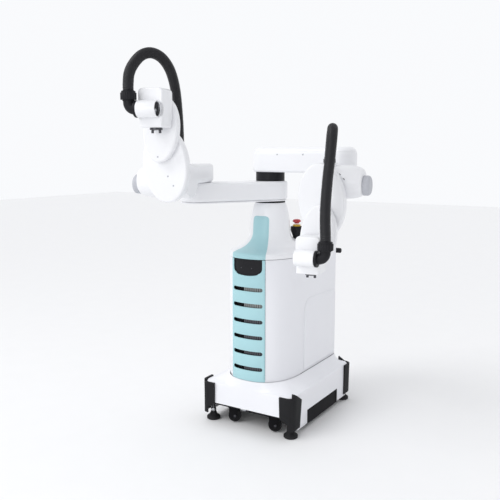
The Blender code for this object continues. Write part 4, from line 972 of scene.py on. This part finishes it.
def build_link2(arm):
    """The second level link's box, the drive drum across its end, the seat of the lift link and the hose boss."""
    low, high, drum_out = BOXES[arm.prefix]
    gland_low, gland_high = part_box(arm.name("hose_gland"))
    gland_t = arm.local((gland_low + gland_high) / 2)[0]
    outline = arc(0, 0, ELBOW_BOX_REAR, 0, -pi, 30) + [
        (-ELBOW_BOX_HALF - 0.002, 0.10), (-ELBOW_BOX_HALF, DRUM_S + 0.030), (ELBOW_BOX_HALF, DRUM_S + 0.030),
        (ELBOW_BOX_HALF + 0.002, 0.10)]
    box = solid(prism(outline, low, high), BOX_EDGE, 5)
    profile = domed(DRUM_R, DRUM_IN, drum_out, DRUM_EDGE, DRUM_DROP, DRUM_RUN)
    drum = solid(turned(profile, (0, DRUM_S, DRUM_Z), "X", 80))
    boss = rod(GLAND_R + 0.004, DRUM_Z, gland_low.z - GAP, 0.003, (gland_t, GLAND_S, 0))
    seat = solid(turned(rounded(SEAT_R, DRUM_S, LIFT_S0 - GAP, 0.002), (0, 0, arm.lift.z), "Y", 64))
    bore = rod(AXLE_R + AXLE_FREE, LIFT_S0 - BORE_DEEP, LIFT_S0 + 0.01, 0.0005, (0, 0, arm.lift.z), "Y")
    combined(box, [drum, boss, seat])
    combined(box, [bore], "DIFFERENCE")
    arm.piece("link2_housing_casting", baked(box, [drum, boss, seat, bore]), CASTING, "link2", "link2_housing")
    cap = rounded(CAP_R, drum_out + GAP, drum_out + CAP_LONG, 0.002, 0.012, 7)
    arm.piece("drive_cap_dome", turned(cap, (0, DRUM_S, DRUM_Z - CAP_DOWN), "X", 64), GREY, "link2", "drive_cap")
    for i, (t, rise) in enumerate(DRUM_MARKS):
        face = DRUM_S + sqrt(DRUM_R ** 2 - rise ** 2)
        lean = Matrix.Rotation(MARK_TURN, 2)
        line = [tuple(lean @ Vector(point) + Vector((t, DRUM_Z + rise)))
                for point in stadium(-MARK_HALF, MARK_HALF, 0, MARK_R, 5)]
        arm.piece(f"drum_mark_{i}", prism(line, face - 0.005, face + 0.0008, "Y"), DARK_STEEL, "link2")

    place = (gland_t, GLAND_S, 0)
    grip = gripped(gland_t, GLAND_S, GLAND_NUT_R, GLAND_GRIP, GLAND_TEETH, 96)
    nut = solid(prism(grip, gland_low.z, gland_high.z - 0.008), 0.0010, 2, 60)
    crown = rod(HOSE_R + 0.0012, gland_high.z - 0.012, gland_high.z, 0.0010, place)
    arm.piece("gland_nut", baked(combined(nut, [crown]), [crown]), BLACK, "link2", "hose_gland")


def build_lift_links(arm):
    """Two oval castings in front of each other, with rounded faces, short axles and a few plugged screws."""
    lift, follow, wrist = (arm.local(p) for p in (arm.lift, arm.follow, arm.wrist))
    for node, start, end, half, long, s0, s1, edge, marks in (
            ("lift_link", lift, follow, LIFT_HALF, LIFT_LONG, LIFT_S0, LIFT_S1, 0.009,
             ((-0.1, 0.30), (0.18, 0.10))),
            ("follower_link", follow, wrist, FOLLOW_HALF, FOLLOW_LONG, FOLLOW_S0, FOLLOW_S1, 0.008,
             ((-0.26, 0.0),))):
        shape = solid(prism(oval(start, end, half, long), s0, s1, "Y"), edge, 5)
        axle = rod(AXLE_R, s0 - 0.0195, s0 + 0.010, 0.001, (start[0], 0, start[1]), "Y")
        bore = rod(AXLE_R + AXLE_FREE, s1 - BORE_DEEP, s1 + 0.01, 0.0005, (end[0], 0, end[1]), "Y")
        combined(shape, [axle])
        combined(shape, [bore], "DIFFERENCE")
        arm.piece(f"{node}_casting", baked(shape, [axle, bore]), CASTING, node, node)
        run = Vector(end) - Vector(start)
        across = Vector((-run.y, run.x)).normalized() * half
        for i, (share, aside) in enumerate(marks):
            spot = Vector(start) + run * share + across * aside
            screw(arm.name(f"{node}_plug_{i}"), arm.at(s1, spot.x, spot.y), PLUG_R, arm.name(node), arm.ahead,
                  GREY, 0.0006)


def build_wrist(arm):
    """The level wrist box, and the tube across it with its open mouth, liner and fittings."""
    z = arm.wrist.z
    top, low = z + WRIST_UP, z - WRIST_DOWN
    half, narrow, r = WRIST_HALF, WRIST_HALF - WRIST_STEP, WRIST_ROUND
    side = [(narrow, low), (narrow, low + 0.026), (half, low + 0.034)]
    outline = (side + arc(half - r, top - r, r, 0, pi / 2, 8) + arc(r - half, top - r, r, pi / 2, pi, 8)
               + [(-t, h) for t, h in side[::-1]])
    box = solid(prism(outline, WRIST_S0, WRIST_S1, "Y"), 0.0055, 4)
    axle = rod(AXLE_R, WRIST_S0 - 0.018, WRIST_S0 + 0.01, 0.001, (0, 0, z), "Y")
    place = (0, SPOOL_S, z + SPOOL_Z)
    seat = rod(SPOOL_R + GAP, SPOOL_IN - 0.02, SPOOL_OUT + 0.02, 0.001, place, "X", 64)
    combined(box, [axle])
    combined(box, [seat], "DIFFERENCE")
    arm.piece("wrist_housing_casting", baked(box, [axle, seat]), CASTING, "wrist", "wrist_housing")

    r, inner = SPOOL_R, SPOOL_R - SPOOL_WALL
    profile = [(0, 0.040), (inner, 0.040), (inner, 0.0015), (inner + 0.0010, 0), (r - 0.0015, 0), (r, 0.0025),
               (r, SPOOL_OUT - SPOOL_IN - 0.0015), (r - 0.0015, SPOOL_OUT - SPOOL_IN), (0, SPOOL_OUT - SPOOL_IN)]
    liner = [(0, 0.036), (inner - 0.0025, 0.036), (inner - 0.0025, 0.0030), (inner - 0.0003, 0.0030),
             (inner - 0.0003, 0.0395), (0, 0.0395)]
    profile, liner = ([(radius, SPOOL_IN + h) for radius, h in line] for line in (profile, liner))
    arm.piece("hose_spool_tube", turned(profile, place, "X", 64), CASTING, "wrist", "hose_spool")
    arm.piece("spool_liner", turned(liner, place, "X"), ALUMINIUM, "wrist")
    for i, (ds, dz, r, mat) in enumerate(((0.000, 0.013, 0.0115, BLACK), (0.004, -0.012, 0.0100, STEEL),
                                          (-0.010, -0.004, 0.0065, STEEL), (0.013, 0.001, 0.0060, DARK_STEEL))):
        plug = rounded(r, SPOOL_IN + 0.006 + 0.003 * i, SPOOL_IN + 0.0375, 0.0012)
        arm.piece(f"spool_fitting_{i}", turned(plug, (0, SPOOL_S + ds, place[2] + dz), "X", 32), mat, "wrist")


def build_elbow(arm):
    """The black quarter-turn from the spool's end up to the hose, with its collar and gripped nut."""
    z, middle_z = arm.wrist.z, arm.wrist.z + SPOOL_Z
    start = SPOOL_OUT + GAP
    turn = arc(NUT_T - ELBOW_BEND, middle_z + ELBOW_BEND, ELBOW_BEND, -pi / 2, 0, 14)
    line = [(start + 0.002, middle_z)] + turn + [(NUT_T, z + NUT_Z0 + 0.010)]
    bend = solid(tube([Vector((t, SPOOL_S, h)) for t, h in line], [ELBOW_R] * len(line), 40, (0, 1, 0)))
    collar = rod(SPOOL_R, start, start + ELBOW_COLLAR, 0.0015, (0, SPOOL_S, middle_z), "X", 64)
    grip = gripped(NUT_T, SPOOL_S, NUT_R, NUT_GRIP, NUT_TEETH, 120)
    nut = solid(prism(grip, z + NUT_Z0, z + NUT_Z1 - 0.007), 0.0012, 2, 60)
    place = (NUT_T, SPOOL_S, 0)
    crown = rod(NUT_R - 0.0035, z + NUT_Z1 - 0.012, z + NUT_Z1, 0.003, place)
    rim = rod(ELBOW_R + 0.0025, z + NUT_Z0 - 0.005, z + NUT_Z0 + 0.004, 0.0012, place)
    others = [collar, nut, crown, rim]
    arm.piece("elbow_fitting_black", baked(combined(bend, others), others), BLACK, "wrist", "elbow_fitting")


def build_flange(arm):
    """The tool flange: a ring with a bore, two pins and four screws."""
    node = arm.name("tool_flange")
    low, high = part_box(node)
    s = (arm.tool - arm.elbow).dot(arm.ahead)
    ring_low = high.z - FLANGE_HIGH
    ring = solid(turned(rounded(FLANGE_R, ring_low, high.z, 0.0010), (0, s, 0), steps=64))
    bore = rod(0.0080, ring_low - 0.005, ring_low + 0.004, 0.0004, (0, s, 0))
    arm.piece("tool_flange_ring", cut(ring, [bore]), DARK_STEEL, "tool_flange", "tool_flange")
    for i, t in enumerate((-PIN_OFFSET, PIN_OFFSET)):
        pin = turned(rounded(PIN_R, low.z, ring_low + 0.002, 0.0010), (t, s, 0), steps=28)
        arm.piece(f"tool_flange_pin_{i}", pin, DARK_STEEL, "tool_flange")
    for i in range(FLANGE_SCREWS):
        turn = pi / 4 + 2 * pi * i / FLANGE_SCREWS
        place = arm.at(s + FLANGE_SCREW_AT * sin(turn), FLANGE_SCREW_AT * cos(turn), ring_low)
        screw(f"{node}_screw_{i}", place, FLANGE_SCREW_R, node, (0, 0, -1))


# ---------------------------------------------------------------- hoses
def smooth_route(points, step):
    """Points a step apart along the smooth curve through a route's points."""
    points = [2 * points[0] - points[1]] + points + [2 * points[-1] - points[-2]]
    fine = [curve_at(a, b, c, d, i / 40)
            for a, b, c, d in zip(points, points[1:], points[2:], points[3:]) for i in range(40)]
    fine.append(points[-2])
    runs = [0.0]
    for a, b in zip(fine, fine[1:]):
        runs.append(runs[-1] + (b - a).length)
    count = round(runs[-1] / step)
    out, k = [], 0
    for i in range(count + 1):
        want = runs[-1] * i / count
        while k < len(runs) - 2 and runs[k + 1] < want:
            k += 1
        share = (want - runs[k]) / max(runs[k + 1] - runs[k], 1e-9)
        out.append(fine[k].lerp(fine[k + 1], min(share, 1.0)))
    return out


def build_hose(arm):
    """A ribbed hose from the second link to the wrist, in three lengths."""
    step = RIB_PITCH / 4
    line = smooth_route([arm.at(*point) for point in HOSE_ROUTES[arm.prefix]], step)
    ends = round(HOSE_END[arm.prefix] / step)
    parts = {"lower": (line[:ends + 1], "link2", "lift_link"),
             "middle": (line[ends:len(line) - ends], "lift_link", "follower_link"),
             "upper": (line[len(line) - ends - 1:], "follower_link", "wrist")}
    made, first = {}, 0
    for part, (points, near, far) in parts.items():
        radii = [HOSE_R - (RIB_DEEP if (first + i) % 4 in (0, 3) else 0.0) for i in range(len(points))]
        first += len(points) - 1
        hose = piece(arm.name(f"hose_{part}"), tube(points, radii, HOSE_SIDES, arm.out), HOSE, None, sharp=60)
        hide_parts(arm.name("hose"))
        arm.name(near)
        arm.name(far)
        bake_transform(hose)
        made[part] = hose


# ---------------------------------------------------------------- the whole robot
build_camera()
build_studio()
arms = [Arm("left", -1), Arm("right", 1)]
for each in arms:
    build_hose(each)
build_shroud()
for corner_x, x_sign in (("left", -1), ("right", 1)):
    for corner_y, y_sign in (("front", -1), ("rear", 1)):
        build_bumper(f"{corner_y}_{corner_x}_bumper", x_sign, y_sign)
        build_foot(f"{corner_y}_{corner_x}_foot")
        build_caster(f"{corner_y}_{corner_x}_caster")
    build_side_cover(f"{corner_x}_side_cover", x_sign)
build_cabinet()
build_front_panel()
build_sill()
build_rear()
build_handle()
build_neck()
build_rings()
build_estop()
for node_name, material in (("chassis", BLACK_STEEL), ("column", STEEL), ("controller_box", ALUMINIUM)):
    paint_node(node_name, material)
build_lower_link1()
build_upper_link1()
for each in arms:
    build_link2(each)
    build_lift_links(each)
    build_wrist(each)
    build_elbow(each)
    build_flange(each)
